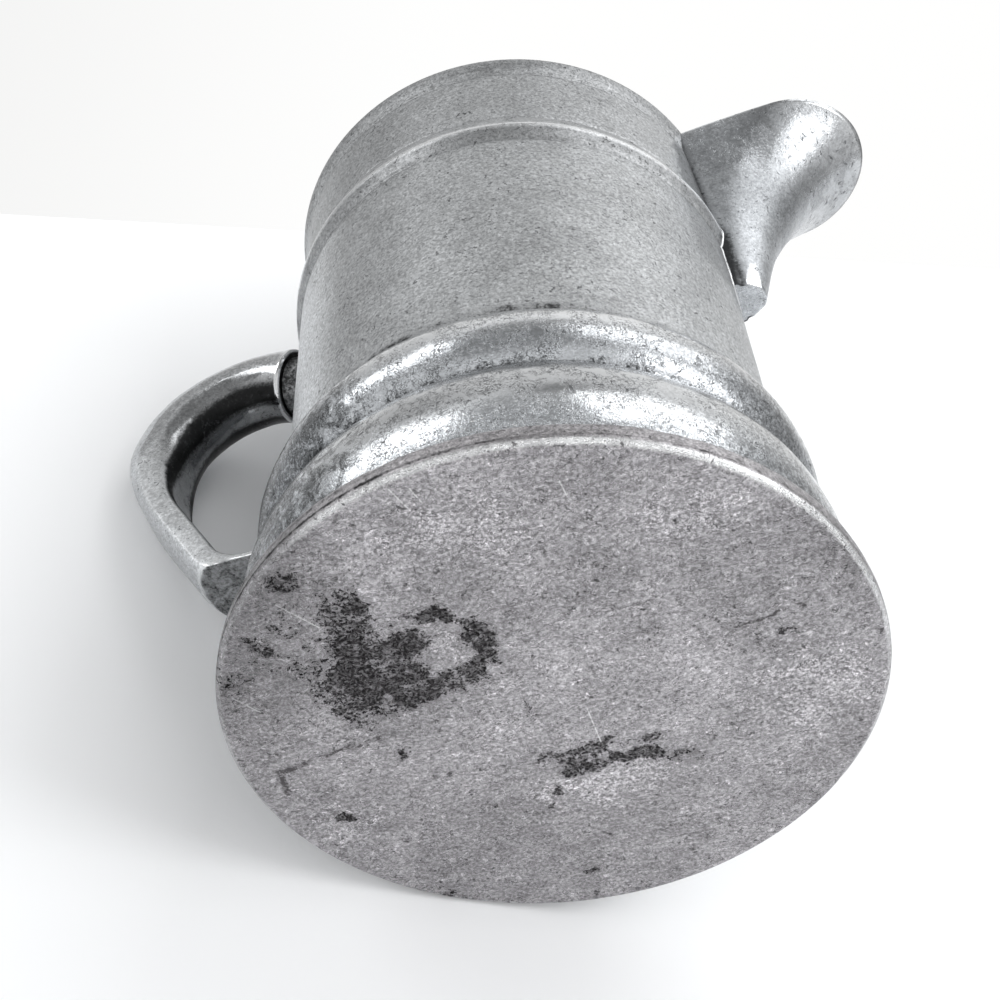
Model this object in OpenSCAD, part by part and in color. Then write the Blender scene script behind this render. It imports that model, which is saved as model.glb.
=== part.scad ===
// Pewter creamer: a straight drum on a moulded foot, with a soldered pouring spout and an ear handle.
// The origin is the centre of the flat underside, +Z is up, the spout points along +X
// and the handle along -X. All sizes are in millimetres.

/* [Drum] */
// Height of the rim above the table
body_h = 97; // [90:1:116]
// Outside diameter of the straight drum
drum_d = 64; // [56:1:76]
// Thickness of the drum wall
wall = 1.8; // [1.4:0.1:2.4]

/* [Rim and bead] */
// Height of the thickened band at the rim
rim_band_h = 4.2; // [2.4:0.2:7]
// How far the rim band stands out from the drum
rim_band_out = 0.6; // [0.3:0.1:1]
// From the rim down to the middle of the raised bead
bead_drop = 20.4; // [15:0.2:24]
// Height of the raised bead
bead_h = 5.8; // [4:0.2:8]
// How far the bead stands out from the drum
bead_out = 1.1; // [0.5:0.1:1.6]

/* [Foot] */
// How far the base plate stands out from the drum
plate_out = 6; // [5:0.2:9]
// Thickness of the base plate
plate_t = 3; // [2:0.2:5]
// Chamfer round the lower edge of the base plate
plate_chamfer = 0.7; // [0.3:0.1:1]
// Height of the top of the foot moulding above the table
foot_h = 30.5; // [27:0.5:33]
// Height of the groove between the two rings of the foot
groove_z = 20.3; // [15:0.1:23]
// How far the bottom of the groove stands out from the drum
groove_out = 0.9; // [0.4:0.1:1.5]
// How far the upper ring stands out from the drum
upper_ring_out = 3.2; // [2:0.1:4]
// How far the lower ring stands out from the drum
lower_ring_out = 4.2; // [3:0.1:4.8]

/* [Spout] */
// From the rim down to the cut end of the spout's tail
spout_drop = 30.4; // [27:0.2:34]
// How far the pouring lip reaches out from the drum
spout_out = 24.9; // [20:0.1:29]
// How far the tip of the lip rises above the rim
lip_rise = 1.6; // [0:0.1:3]
// How far the cut end of the tail stands out from the drum
tail_out = 4; // [3:0.1:5]
// Width of the spout at the lip
lip_w = 24.5; // [20:0.1:28]
// Width of the spout at the cut end of its tail
tail_w = 7; // [6:0.2:9]
// How far the nipped facets take in each side of the tail
nip_in = 0.8; // [0.3:0.1:1.2]
// Height of the nipped facets
nip_h = 4; // [2:0.2:6]
// Thickness of the pouring lip
lip_t = 1.7; // [1.2:0.1:2.2]
// From the rim down to the sill of the opening behind the spout
sill_drop = 24; // [18:0.5:26]
// Width of the opening at its sill
sill_w = 4.4; // [3:0.2:5]

/* [Handle] */
// How far the middle of the upper joint lies below the middle of the bead
joint_low = 0.7; // [0:0.1:3]
// How far the middle of the bend lies from the drum
bend_out = 23.3; // [21:0.1:26]
// Bending radius of the upper arm
bow_r = 15; // [13:0.5:17]
// Bending radius below the bend, as a share of the height from there down to the heel
bend_share = 1; // [0.5:0.05:1.1]
// Bending radius where the lower arm turns in to the drum
heel_r = 8.4; // [6:0.2:10]
// Length of the level run of the heel, from the drum to the start of its bend
heel_run = 6; // [4:0.2:8]
// Diameter of the round upper arm
arm_d = 11; // [9:0.2:12]
// Width of the flattened lower arm
strap_w = 10.4; // [8:0.2:11]
// Thickness of the flattened lower arm
strap_t = 5; // [4:0.2:6]
// How much of that thickness is the crown of the outer face
strap_crown = 1.2; // [0.4:0.1:1.6]
// Thickness left where the cut heel meets the drum
heel_t = 1.8; // [1.4:0.1:2.4]
// Height of the cut face of the heel above the foot moulding
heel_lift = 2.6; // [1.4:0.1:5]
// How far the flared end of the upper arm stands out
collar_flare = 0.3; // [0.1:0.1:0.8]
// Distance from the drum to the middle of the flared end
neck_l = 2.9; // [2.4:0.1:4]
// Diameter of the neck between the flared end and the drum
neck_d = 9.4; // [7:0.2:10.4]

/* [Solder] */
// Leg of the solder fillets outside
fillet = 0.7; // [0.4:0.1:1]
// Leg of the solder fillet inside, round the floor
floor_fillet = 1.6; // [1:0.1:2.5]

/* [Hidden] */
$fn = 96;

pewter = [0.62, 0.62, 0.61];
pewter_bright = [0.70, 0.70, 0.70];
pewter_dull = [0.54, 0.53, 0.54];
solder_grey = [0.46, 0.46, 0.46];

drum_r = drum_d / 2;
base_r = drum_r + plate_out;
root_x = drum_r / 2;
bead_z = body_h - bead_drop;
far = 2 * base_r + bend_out + spout_out;

// The lip rises in a straight line from the rim to its tip
lip_top = body_h + lip_rise;
lip_tilt = atan(lip_rise / spout_out);

// Height of the tail's cut end, and how early width, reach and point grow up the spout
tail_z = body_h - spout_drop;
sill_z = body_h - sill_drop;
width_early = 0.8;
reach_early = 0.41;
reach_power = 3.45;
point_share = 0.6;
point_power = 7.5;
sill_power = 3;
spout_steps = 22;
spout_sides = 22;

// Share of the way up the spout, or up the channel inside it
function up_spout(z) = min(1, max(0, (z - tail_z) / (lip_top - tail_z)));
function up_channel(z) = 1 - pow(1 - min(1, max(0, (z - sill_z) / (lip_top - sill_z))), sill_power);

// Half width and farthest reach of the spout's outside at height z
function spout_half(z) = let (u = up_spout(z))
    tail_w / 2 + (lip_w - tail_w) / 2 * (width_early * u + (1 - width_early) * u * u);
function spout_keel(z) = let (u = up_spout(z))
    drum_r + tail_out + (spout_out - tail_out) * (reach_early * u + (1 - reach_early) * pow(u, reach_power));

// Length of the rounded end at height z: pointed under the lip, half round at the lip
function spout_nose(z) = let (spare = spout_keel(z) - drum_r - spout_half(z))
    spout_half(z) + max(0, spare) * point_share * (1 - pow(up_spout(z), point_power));

// Half width and farthest reach of the open channel, which leaves the drum wall at the sill
function channel_half(z) = sill_w / 2 + (spout_half(z) - lip_t - sill_w / 2) * up_channel(z);
function channel_keel(z) = let (start = drum_r - wall)
    start + (spout_keel(z) - lip_t - start) * up_channel(z);
function channel_nose(z) = channel_half(z) * spout_nose(z) / spout_half(z);

// Level outline of the spout: two straight sides from the root and a rounded end
function u_ring(half, keel, nose, z) = concat(
    [[root_x, -half, z]],
    [for (i = [0 : spout_sides]) let (a = 180 * i / spout_sides - 90)
        [keel - nose + nose * cos(a), half * sin(a), z]],
    [[root_x, half, z]]);

// Solid through a list of rings that all have the same number of points
module skin(rings) {
    n = len(rings[0]);
    last = len(rings) - 1;
    points = [for (ring = rings) each ring];
    sides = [for (k = [0 : last - 1], i = [0 : n - 1]) let (j = (i + 1) % n, a = k * n, b = a + n)
        each [[a + i, b + i, b + j], [a + i, b + j, a + j]]];
    caps = [[for (i = [0 : n - 1]) i], [for (i = [n - 1 : -1 : 0]) last * n + i]];
    polyhedron(points, concat(sides, caps), convexity = 6);
}

// Outside of the spout, grown by a margin, from inside the drum to the tip of the lip
module spout_outside(margin = 0) {
    low = tail_z - margin;
    skin([for (i = [0 : spout_steps]) let (z = low + (lip_top - low) * i / spout_steps)
        u_ring(spout_half(z) + margin, spout_keel(z) + margin, spout_nose(z) + margin, z)]);
}

// Open channel of the spout, which also cuts the opening in the drum wall
module spout_channel() {
    high = lip_top + wall;
    skin([for (i = [0 : spout_steps]) let (z = sill_z + (high - sill_z) * i / spout_steps)
        u_ring(channel_half(z), channel_keel(z), channel_nose(z), z)]);
}

// Everything above the rising lip
module above_lip() {
    translate([drum_r, 0, body_h]) rotate([0, -lip_tilt, 0]) translate([-drum_r, -far / 2, 0])
        cube(far);
}

// The two wedges nipped off the sides of the tail
module tail_nips() {
    slant = atan((spout_half(tail_z + nip_h) - tail_w / 2 + nip_in) / nip_h);
    for (side = [0, 1]) mirror([0, side, 0])
        translate([drum_r + fillet, tail_w / 2 - nip_in, tail_z]) rotate([-slant, 0, 0])
            translate([0, 0, -nip_h]) cube([drum_d, nip_h, 3 * nip_h]);
}

// Straight cylinder with the drum's outside diameter
module drum_core() {
    cylinder(r = drum_r, h = lip_top + wall);
}

// Centres of the handle's three bends, as distance from the axis and height
joint_z = bead_z - joint_low;
collar_x = drum_r + neck_l;
bend_x = drum_r + bend_out;
bow_x = bend_x - bow_r;
start_angle = acos((collar_x - bow_x) / bow_r);
bow_z = joint_z - bow_r * sin(start_angle);
heel_cut_z = foot_h + heel_lift;
heel_z = heel_cut_z + heel_t - strap_t / 2;
bend_r = bend_share * (bow_z - heel_z);

// The lower arm is the straight line that touches the bend and the heel
bend_c = [bend_x - bend_r, bow_z];
heel_c = [drum_r + heel_run, heel_z + heel_r];
arm_line = heel_c - bend_c;
arm_slope = atan2(arm_line[1], arm_line[0]) + acos((bend_r - heel_r) / norm(arm_line));

handle_sides = 32;
bow_steps = 20;
bend_steps = 10;
arm_steps = 5;
heel_steps = 10;

function on_arc(c, r, a) = [c[0] + r * cos(a), c[1] + r * sin(a)];

// Route of the handle as [distance from the axis, height, heading]
arm_start = on_arc(bend_c, bend_r, arm_slope);
arm_end = on_arc(heel_c, heel_r, arm_slope);
route = concat(
    [for (i = [0 : bow_steps]) let (a = start_angle * (1 - i / bow_steps))
        [each on_arc([bow_x, bow_z], bow_r, a), a - 90]],
    [for (i = [1 : bend_steps]) let (a = arm_slope * i / bend_steps)
        [each on_arc(bend_c, bend_r, a), a - 90]],
    [for (i = [1 : arm_steps - 1]) let (p = arm_start + (arm_end - arm_start) * i / arm_steps)
        [each p, arm_slope - 90]],
    [for (i = [0 : heel_steps]) let (a = arm_slope + (-90 - arm_slope) * i / heel_steps)
        [each on_arc(heel_c, heel_r, a), a - 90]],
    [[root_x, heel_z, -180]]);

// Smooth step from 0 to 1 while x runs from a to b
function ease(a, b, x) = let (t = min(1, max(0, (x - a) / (b - a)))) t * t * (3 - 2 * t);

// The upper arm is round and flares at its end; the lower arm is flat with a crowned outer face
flat_from = bow_z + 0.45 * bow_r;
flat_to = bow_z - 0.42 * bend_r;
corner_power = 0.45;
function flat_share(height) = ease(flat_from, flat_to, height);
function flare(x, height) = height > bow_z ? collar_flare * pow(max(0, 1 - (x - collar_x) / neck_d), 3) : 0;

function arm_ring(stop) = let (
        x = stop[0],
        z = stop[1],
        heading = stop[2],
        share = flat_share(z),
        half_t = (arm_d + (strap_t - arm_d) * share) / 2 + flare(x, z),
        half_w = (arm_d + (strap_w - arm_d) * share) / 2 + flare(x, z),
        crown = strap_crown * share,
        power = 1 + (corner_power - 1) * share)
    [for (i = [0 : handle_sides - 1]) let (
            a = 360 * i / handle_sides,
            flank = sign(sin(a)) * pow(abs(sin(a)), power),
            depth = pow(abs(cos(a)), power),
            across = cos(a) > 0 ? (half_t - crown) * depth + crown * (1 - flank * flank) : -half_t * depth)
        [-(x - across * sin(heading)), half_w * flank, z + across * cos(heading)]];

// Section of the bead, and the bead all the way round
module bead_profile() {
    bead_r = (bead_h * bead_h / 4 + bead_out * bead_out) / (2 * bead_out);
    intersection() {
        translate([drum_r + bead_out - bead_r, bead_z]) circle(r = bead_r);
        translate([drum_r - wall / 2, bead_z - bead_h / 2]) square([wall, bead_h]);
    }
}

module bead_ring() {
    rotate_extrude() bead_profile();
}

// Section of the band at the rim, rounded at its upper edge
module rim_profile() {
    round_r = rim_band_out;
    translate([drum_r - wall / 2, body_h - rim_band_h]) square([wall / 2 + rim_band_out, rim_band_h - round_r]);
    translate([drum_r - wall / 2, body_h - round_r]) square([wall / 2, round_r]);
    translate([drum_r, body_h - round_r]) circle(r = round_r);
}

// The straight wall with its bead and rim band, cut open behind the spout
module drum() {
    color(pewter) difference() {
        union() {
            rotate_extrude() translate([drum_r - wall, plate_t]) square([wall, body_h - plate_t]);
            difference() {
                rotate_extrude() {
                    bead_profile();
                    rim_profile();
                }
                spout_outside(fillet);
            }
        }
        spout_channel();
    }
}

// One ring of the foot: an arc that stands out between two heights
module foot_arc(low, high, out) {
    half = (high - low) / 2;
    rise = out - groove_out;
    r = (half * half + rise * rise) / (2 * rise);
    intersection() {
        translate([drum_r + out - r, (low + high) / 2]) circle(r = r, $fn = 180);
        translate([drum_r, low]) square([out + wall, high - low]);
    }
}

// Moulded foot of two rounded rings, seated on the base plate round the drum
module foot_ring() {
    color(pewter_bright) rotate_extrude() {
        foot_arc(plate_t, groove_z, lower_ring_out);
        foot_arc(groove_z, foot_h, upper_ring_out);
    }
}

// Flat disc that closes the bottom and carries the foot and the drum
module base_plate() {
    color(pewter_dull) rotate_extrude() polygon([
        [0, 0],
        [base_r - plate_chamfer, 0],
        [base_r, plate_chamfer],
        [base_r, plate_t - plate_chamfer / 2],
        [base_r - plate_chamfer / 2, plate_t],
        [0, plate_t]]);
}

// Beak-shaped spout: level outlines that widen and reach out towards the rising lip
module spout() {
    color(pewter_bright) difference() {
        spout_outside();
        drum_core();
        spout_channel();
        above_lip();
        tail_nips();
    }
}

// Ear handle: round upper arm with a flared end, flat lower arm with a heel cut level
module handle() {
    color(pewter_bright) difference() {
        skin([for (stop = route) arm_ring(stop)]);
        translate([-far, -arm_d, 0]) cube([far, 2 * arm_d, heel_cut_z]);
        drum_core();
        bead_ring();
    }
}

// Neck that joins the flared end of the upper arm to the drum
module handle_neck() {
    color(solder_grey) difference() {
        translate([-collar_x, 0, joint_z]) rotate([0, start_angle, 0]) cylinder(d = neck_d, h = root_x);
        drum_core();
        bead_ring();
    }
}

// Ring of solder on the outside of the drum, with a slanting face, standing on height z
module fillet_ring(z) {
    rotate_extrude() translate([drum_r, z]) polygon([[0, 0], [fillet, 0], [0, fillet]]);
}

// Fillet of solder between the top of the foot and the drum
module foot_solder() {
    color(solder_grey) fillet_ring(foot_h);
}

// Fillet of solder inside, between the drum wall and the floor
module floor_solder() {
    color(solder_grey) rotate_extrude() translate([drum_r - wall - floor_fillet, plate_t]) difference() {
        square(floor_fillet);
        translate([0, floor_fillet]) circle(r = floor_fillet);
    }
}

// Solder line round the spout where it meets the drum
module spout_solder() {
    color(solder_grey) difference() {
        intersection() {
            spout_outside(fillet);
            cylinder(r = drum_r + fillet, h = body_h);
        }
        spout_outside();
        drum_core();
    }
}

// Fillet of solder on top of the heel where it meets the drum
module heel_solder() {
    length = strap_w - 2 * fillet;
    color(solder_grey) intersection() {
        fillet_ring(heel_cut_z + heel_t);
        translate([-far, -length / 2, 0]) cube([far, length, body_h]);
    }
}

drum();
foot_ring();
base_plate();
spout();
handle();
handle_neck();
foot_solder();
floor_solder();
spout_solder();
heel_solder();
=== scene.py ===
# %% [markdown]
# # A pewter creamer, surface by surface
# The object is a small pewter jug for cream: a straight drum on a moulded foot, a beak-shaped
# spout soldered to one side and an ear-shaped handle on the other. It lies on a white cloth with
# its underside towards us. The imported model gives the frame: the origin is the middle of the
# underside, +Z runs up the drum, the spout points along +X and the handle along -X.
# The model is loaded first. Nothing below may outgrow it.

# %% Load the imported model
import itertools
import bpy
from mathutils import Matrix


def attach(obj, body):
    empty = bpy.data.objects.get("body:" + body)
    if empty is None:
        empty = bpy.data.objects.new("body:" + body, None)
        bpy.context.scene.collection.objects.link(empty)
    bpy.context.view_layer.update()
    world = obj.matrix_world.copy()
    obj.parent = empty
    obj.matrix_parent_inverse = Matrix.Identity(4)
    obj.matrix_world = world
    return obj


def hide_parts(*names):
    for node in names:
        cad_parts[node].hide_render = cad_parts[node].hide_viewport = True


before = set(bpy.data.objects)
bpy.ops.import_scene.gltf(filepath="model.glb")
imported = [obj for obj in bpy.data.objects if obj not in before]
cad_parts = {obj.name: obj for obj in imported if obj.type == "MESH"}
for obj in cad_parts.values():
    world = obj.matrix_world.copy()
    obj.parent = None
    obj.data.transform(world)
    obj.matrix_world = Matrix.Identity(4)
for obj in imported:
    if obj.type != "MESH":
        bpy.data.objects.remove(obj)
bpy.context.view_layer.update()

from types import SimpleNamespace

import bmesh
import bpy
import numpy as np
from mathutils import Matrix, Vector

# %% [markdown]
# ## Camera
# The jug stays upright in the frame, so the camera goes below it and looks up at the underside,
# rolled so that the jug seems to lie down. Three unit vectors say which way is right, up and back
# for the camera; together they are the columns of its rotation. A 57.6 mm lens on a 36 mm film
# gives the strong perspective of a close view.

# %% Camera
scene = bpy.context.scene
scene.view_settings.view_transform = "Standard"
CAMERA_PLACE = Vector((0.02687, -0.13207, -0.12211))
CAMERA_RIGHT = Vector((0.9573, 0.2854, -0.0467))
CAMERA_UP = Vector((0.2469, -0.7222, 0.6462))
CAMERA_BACK = Vector((0.1507, -0.6301, -0.7618))
lens = bpy.data.cameras.new("underside_view")
lens.lens, lens.sensor_width = 57.6, 36.0
lens.clip_start, lens.clip_end = 0.001, 20.0
camera = bpy.data.objects.new("underside_view", lens)
turn = Matrix((CAMERA_RIGHT, CAMERA_UP, CAMERA_BACK)).transposed()
camera.matrix_world = Matrix.Translation(CAMERA_PLACE) @ turn.to_4x4()
scene.collection.objects.link(camera)
scene.camera = camera
print("camera at", tuple(camera.matrix_world.translation))

# %% [markdown]
# ## Sizes
# These are the sizes of the drawing, in millimetres. Every surface below is worked out in
# millimetres and is turned into metres when its mesh is laid, so a number here can be held
# against a ruler.

# %% Sizes of the jug
MM = 0.001
DRUM_R, WALL, BODY_H = 32.0, 1.8, 97.0
PLATE_R, PLATE_T, PLATE_CHAMFER = 38.0, 3.0, 0.7
FOOT_H, GROOVE_Z, GROOVE_OUT = 30.5, 20.3, 0.9
UPPER_RING_OUT, LOWER_RING_OUT = 3.2, 4.2
RIM_BAND_H, RIM_BAND_OUT = 4.2, 0.6
BEAD_Z, BEAD_H = 76.6, 5.8
print("drum", 2 * DRUM_R, "mm across, foot", 2 * PLATE_R, "mm, height", BODY_H, "mm")

# %% [markdown]
# ## Small helpers
# A cast and hand-finished jug is never quite smooth. `lumps` is a value noise: every corner of a
# lattice of cubes gets a fixed random height from a whole-number hash, and the heights are eased
# into each other between the corners. The hash has no seed from the clock, so every run gives the
# same jug. `eased` is the usual smooth step, `between` makes a soft-edged band out of two of them,
# and `bell` is a bell curve.

# %% Easing and lumps
def eased(low, high, x):
    """Smooth step: t = (x - low) / (high - low) held between 0 and 1, then 3 t^2 - 2 t^3."""
    t = np.clip((x - low) / (high - low), 0.0, 1.0)
    return t * t * (3.0 - 2.0 * t)


def between(low, full, still, high, x):
    """1 where x lies from `full` to `still`, eased down to 0 at `low` and at `high`."""
    return eased(low, full, x) * (1 - eased(still, high, x))


def bell(x, middle, width):
    """Bell curve exp(-((x - middle) / width)^2): 1 in the middle, about a third one width away."""
    return np.exp(-(((x - middle) / width) ** 2))


HASH_STEPS = np.array([73856093, 19349663, 83492791])
HASH_SEED, HASH_MIX = 2654435, 1274126177
CELL_SHIFT, SEED_SHIFT = 31.7, 7.3


def lumps(points, size, seed=0):
    """Value noise from -1 to 1: hashed heights at the corners of cubes of that size, eased between."""
    scaled = np.asarray(points, float) / size + CELL_SHIFT + SEED_SHIFT * seed
    cell = np.floor(scaled).astype(np.int64)
    t = scaled - cell
    t = t * t * (3.0 - 2.0 * t)
    total = 0.0
    for corner in itertools.product((0, 1), repeat=3):
        key = (cell + corner) @ HASH_STEPS + seed * HASH_SEED
        key = (key ^ (key >> 13)) * HASH_MIX
        height = ((key >> 8) & 0xFFFF) / 32767.5 - 1.0
        total = total + height * np.where(corner, t, 1.0 - t).prod(-1)
    return total


def uneven(points, *layers):
    """Sum of lumps, one layer for each (height, size, seed)."""
    return sum(height * lumps(points, size, seed) for height, size, seed in layers)


print("lumps at three places:", np.round(lumps([[0, 0, 0], [5, 0, 0], [0, 9, 3]], 4.0), 2))

# %% [markdown]
# ## From a grid to a mesh
# Each piece is a grid of points: rows along a profile or a path, columns round it. Neighbouring
# points make four-sided faces. Points that fall together, at a pole or a seam, are merged, the
# faces are turned outwards, and two numbers prove the result: the count of open edges, which has
# to be zero, and the volume, which is positive only when the faces look outwards.
# Two layers of numbers ride on the points for the finishes: `rubbed`, where hands and cloths have
# polished the metal, and a second layer for dirt that stays in a crease, which also carries painted
# shade: in recesses, beside joints and where the metal would reflect shaded parts.

# %% Lay a grid as a mesh
MERGE_WITHIN, DEGENERATE_BELOW = 2e-6, 1e-7
CM3_IN_M3 = 1e6


def grid_faces(rows, columns, wrap):
    """Faces between point (i, j) and its neighbours (i + 1, j + 1), wrapping round where asked."""
    i = np.arange(rows if "rows" in wrap else rows - 1)[:, None]
    j = np.arange(columns if "columns" in wrap else columns - 1)[None, :]
    i2, j2 = (i + 1) % rows, (j + 1) % columns
    corners = [i * columns + j, i * columns + j2, i2 * columns + j2, i2 * columns + j]
    return np.stack(corners, -1).reshape(-1, 4)


def lay_mesh(name, grid, rubbed, grime_and_shade, wrap, more_faces=None):
    """A smooth-shaded object from a grid of points in millimetres, merged, closed and turned outwards.
    `wrap` says what runs round and meets itself: rows, columns or both."""
    points = grid.reshape(-1, 3) * MM
    faces = grid_faces(*grid.shape[:2], wrap)
    if more_faces is not None:
        faces = np.concatenate([faces, more_faces])
    mesh = bpy.data.meshes.new(name)
    mesh.from_pydata(points.tolist(), [], faces.tolist())
    for layer, values in (("rubbed", rubbed), ("grime_and_shade", grime_and_shade)):
        store = mesh.attributes.new(layer, "FLOAT", "POINT")
        spread = np.broadcast_to(np.asarray(values, np.float32), grid.shape[:2]).ravel()
        store.data.foreach_set("value", np.ascontiguousarray(np.clip(spread, 0, 1)))
    work = bmesh.new()
    work.from_mesh(mesh)
    bmesh.ops.remove_doubles(work, verts=work.verts, dist=MERGE_WITHIN)
    bmesh.ops.dissolve_degenerate(work, edges=work.edges, dist=DEGENERATE_BELOW)
    bmesh.ops.recalc_face_normals(work, faces=work.faces)
    if work.calc_volume(signed=True) < 0:
        bmesh.ops.reverse_faces(work, faces=work.faces)
    open_edges = sum(not edge.is_manifold for edge in work.edges)
    volume = work.calc_volume(signed=True) * CM3_IN_M3
    work.to_mesh(mesh)
    work.free()
    mesh.polygons.foreach_set("use_smooth", np.ones(len(mesh.polygons), bool))
    piece = bpy.data.objects.new(name, mesh)
    scene.collection.objects.link(piece)
    print(f"{name}: {len(mesh.polygons)} faces, {open_edges} open edges, {volume:.2f} cm3")
    return piece


def adopt(piece, node, finish):
    """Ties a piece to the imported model: it rides on the body, stands for a node and wears a finish."""
    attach(piece, "root")
    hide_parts(node)
    piece.data.materials.append(finish)


# %% Profiles and turning
def walk(path, count):
    """The same path with points at even steps of its length."""
    path = np.asarray(path, float)
    run = np.concatenate([[0.0], np.cumsum(np.linalg.norm(np.diff(path, axis=0), axis=1))])
    at = np.linspace(0.0, run[-1], count)
    return np.stack([np.interp(at, run, path[:, k]) for k in range(path.shape[1])], -1)


def soften(path, reach):
    """Rounds the corners of an evenly stepped path: each point becomes the mean of its neighbours."""
    kernel = np.hanning(2 * reach + 3)[1:-1]
    kernel = kernel / kernel.sum()
    padded = np.concatenate([np.repeat(path[:1], reach, 0), path, np.repeat(path[-1:], reach, 0)])
    return np.stack([np.convolve(padded[:, k], kernel, "valid") for k in range(path.shape[1])], -1)


def turned(profile, columns):
    """Revolves a profile of (radius, height): x = r cos a, y = r sin a, z = height."""
    a = np.linspace(0.0, 2 * np.pi, columns, endpoint=False)
    r, z = profile[:, 0, None], profile[:, 1, None]
    return np.stack([r * np.cos(a), r * np.sin(a), z + 0 * a], -1)


def push_out(grid, amount):
    """Moves points away from the jug's axis by that many millimetres."""
    away = grid[..., :2] / np.maximum(np.linalg.norm(grid[..., :2], axis=-1, keepdims=True), 1e-6)
    moved = grid.copy()
    moved[..., :2] += away * amount[..., None]
    return moved


# %% [markdown]
# ## Shape of the spout in plain formulas
# The spout decides the hole in the drum, so its formulas come before both. At every height the
# outside of the spout is a level outline: two straight sides that leave the drum and half an
# ellipse at the front. Three numbers make the outline, and all three grow with the share u of the
# way up from the cut tail to the lip: the half width, the keel (how far the front reaches) and the
# nose (how long the ellipse is). The channel inside follows the outside one wall thickness in, and
# leaves the drum at a sill.

# %% Spout formulas
TAIL_Z, SILL_Z, LIP_TOP = 66.6, 73.0, 98.6
SPOUT_OUT, TAIL_OUT = 24.9, 4.0
LIP_W, TAIL_W, SILL_W, LIP_T = 24.5, 7.0, 4.4, 1.7
LIP_RISE, NIP_IN, NIP_H = 1.6, 0.4, 4.0
WIDEST_MOUTH, HALVINGS = 0.9, 40


def spout_shape(z):
    """Half width, keel and nose of the outside: width grows almost evenly, reach mostly near the lip."""
    u = np.clip((z - TAIL_Z) / (LIP_TOP - TAIL_Z), 0, 1)
    half = TAIL_W / 2 + (LIP_W - TAIL_W) / 2 * (0.8 * u + 0.2 * u * u)
    keel = DRUM_R + TAIL_OUT + (SPOUT_OUT - TAIL_OUT) * (0.41 * u + 0.59 * u**3.45)
    nose = half + np.maximum(0, keel - DRUM_R - half) * 0.6 * (1 - u**7.5)
    return half, keel, nose


def channel_shape(z):
    """The same three numbers for the channel: from the sill they run up to the outside less the wall."""
    half, keel, nose = spout_shape(z)
    w = 1 - (1 - np.clip((z - SILL_Z) / (LIP_TOP - SILL_Z), 0, 1)) ** 3
    inner_half = SILL_W / 2 + (half - LIP_T - SILL_W / 2) * w
    inner_keel = DRUM_R - WALL + (keel - LIP_T - DRUM_R + WALL) * w
    return inner_half, inner_keel, inner_half * nose / half


def mouth_angle(z, r, slack=0.0):
    """Half angle of the channel's opening on a cylinder of radius r, found by halving the interval."""
    half, keel, nose = (part + slack for part in channel_shape(z))
    low, high = np.zeros_like(z), np.full_like(z, WIDEST_MOUTH)
    for _ in range(HALVINGS):
        a = (low + high) / 2
        past = np.clip((r * np.cos(a) - keel + nose) / nose, 0, 1)
        inside = (r * np.sin(a) < half * np.sqrt(1 - past * past)) & (r * np.cos(a) < keel)
        low, high = np.where(inside, a, low), np.where(inside, high, a)
    return np.where((keel > r) & (z > SILL_Z), low, 0.0)


print("spout at the lip: half width %.1f, keel %.1f, nose %.1f mm" % spout_shape(np.array(LIP_TOP)))

# %% [markdown]
# ## Drum
# The drum is a tube with a bead round it, a thickened band at the rim and a slot behind the spout.
# It could be turned as a full ring and cut with a Boolean, but that leaves ragged triangles at the
# slot. Here every row of the grid simply starts and stops at the edge of the slot: below the sill a
# row runs all the way round and its ends meet, and above it the row spans from one edge of the slot
# to the other. A strip across the wall closes the slot's two edges.

# %% Drum wall
climb = np.linspace(SILL_Z, 90, 400)
SEAM_Z = np.interp(DRUM_R, channel_shape(climb)[1], climb)
RIM_ROUND = 0.75
BEAD_RIDGE, BEAD_RISE, RIDGE_SOFT = -0.3, 0.9, 0.07
BAND_Z = BODY_H - RIM_BAND_H


def drum_outside(z):
    """Outer radius: the drum, a bead of two slopes that meet in a soft ridge, and a rim that flares
    above a fine scored line. The soft ridge is -k log(exp(-a / k) + exp(-b / k)) of both slopes."""
    rise = np.clip((z - BEAD_Z + BEAD_H / 2) / (BEAD_H / 2 + BEAD_RIDGE), 0, 1) ** 0.8
    fall = np.clip((BEAD_Z + BEAD_H / 2 - z) / (BEAD_H / 2 - BEAD_RIDGE), 0, 1) ** 0.9
    ridge = -RIDGE_SOFT * np.logaddexp(-rise / RIDGE_SOFT, -fall / RIDGE_SOFT)
    bead = BEAD_RISE * np.maximum(ridge, 0)
    band = RIM_BAND_OUT * eased(BAND_Z, BODY_H - 0.6, z)
    line = 0.06 * bell(z, BAND_Z, 0.20)
    groove = 0.10 * bell(np.abs(z - BEAD_Z), BEAD_H / 2 + 0.15, 0.28)
    return DRUM_R + bead + band - line - groove


lower = np.concatenate([[PLATE_T, 12, 22, 28, 29.6, 31.2, 32.0], np.arange(32.6, 34.8, 0.3),
                        np.linspace(35.4, 73, 43), np.arange(73.2, SEAM_Z, 0.18)])
ROUND_Z = BODY_H - RIM_ROUND
upper = np.concatenate([np.linspace(SEAM_Z, 80.2, 26), np.linspace(80.6, 92.2, 20),
                        np.linspace(92.4, 93.4, 9), np.linspace(93.7, ROUND_Z, 9)])
inner_low = np.concatenate([[PLATE_T], np.linspace(5, SILL_Z - 0.1, 34)])
inner_up = SILL_Z + (upper - SEAM_Z) * (ROUND_Z - SILL_Z) / (ROUND_Z - SEAM_Z)
roll = np.radians(np.linspace(12, 84, 7))
rim_mid = (2 * DRUM_R - WALL + RIM_BAND_OUT) / 2
rim_half = (WALL + RIM_BAND_OUT) / 2
rim_z = ROUND_Z + RIM_ROUND * np.sin(roll) ** 0.7
row_z = np.concatenate([inner_low, inner_up, rim_z, rim_z[::-1], upper[::-1], lower[::-1]])
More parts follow.
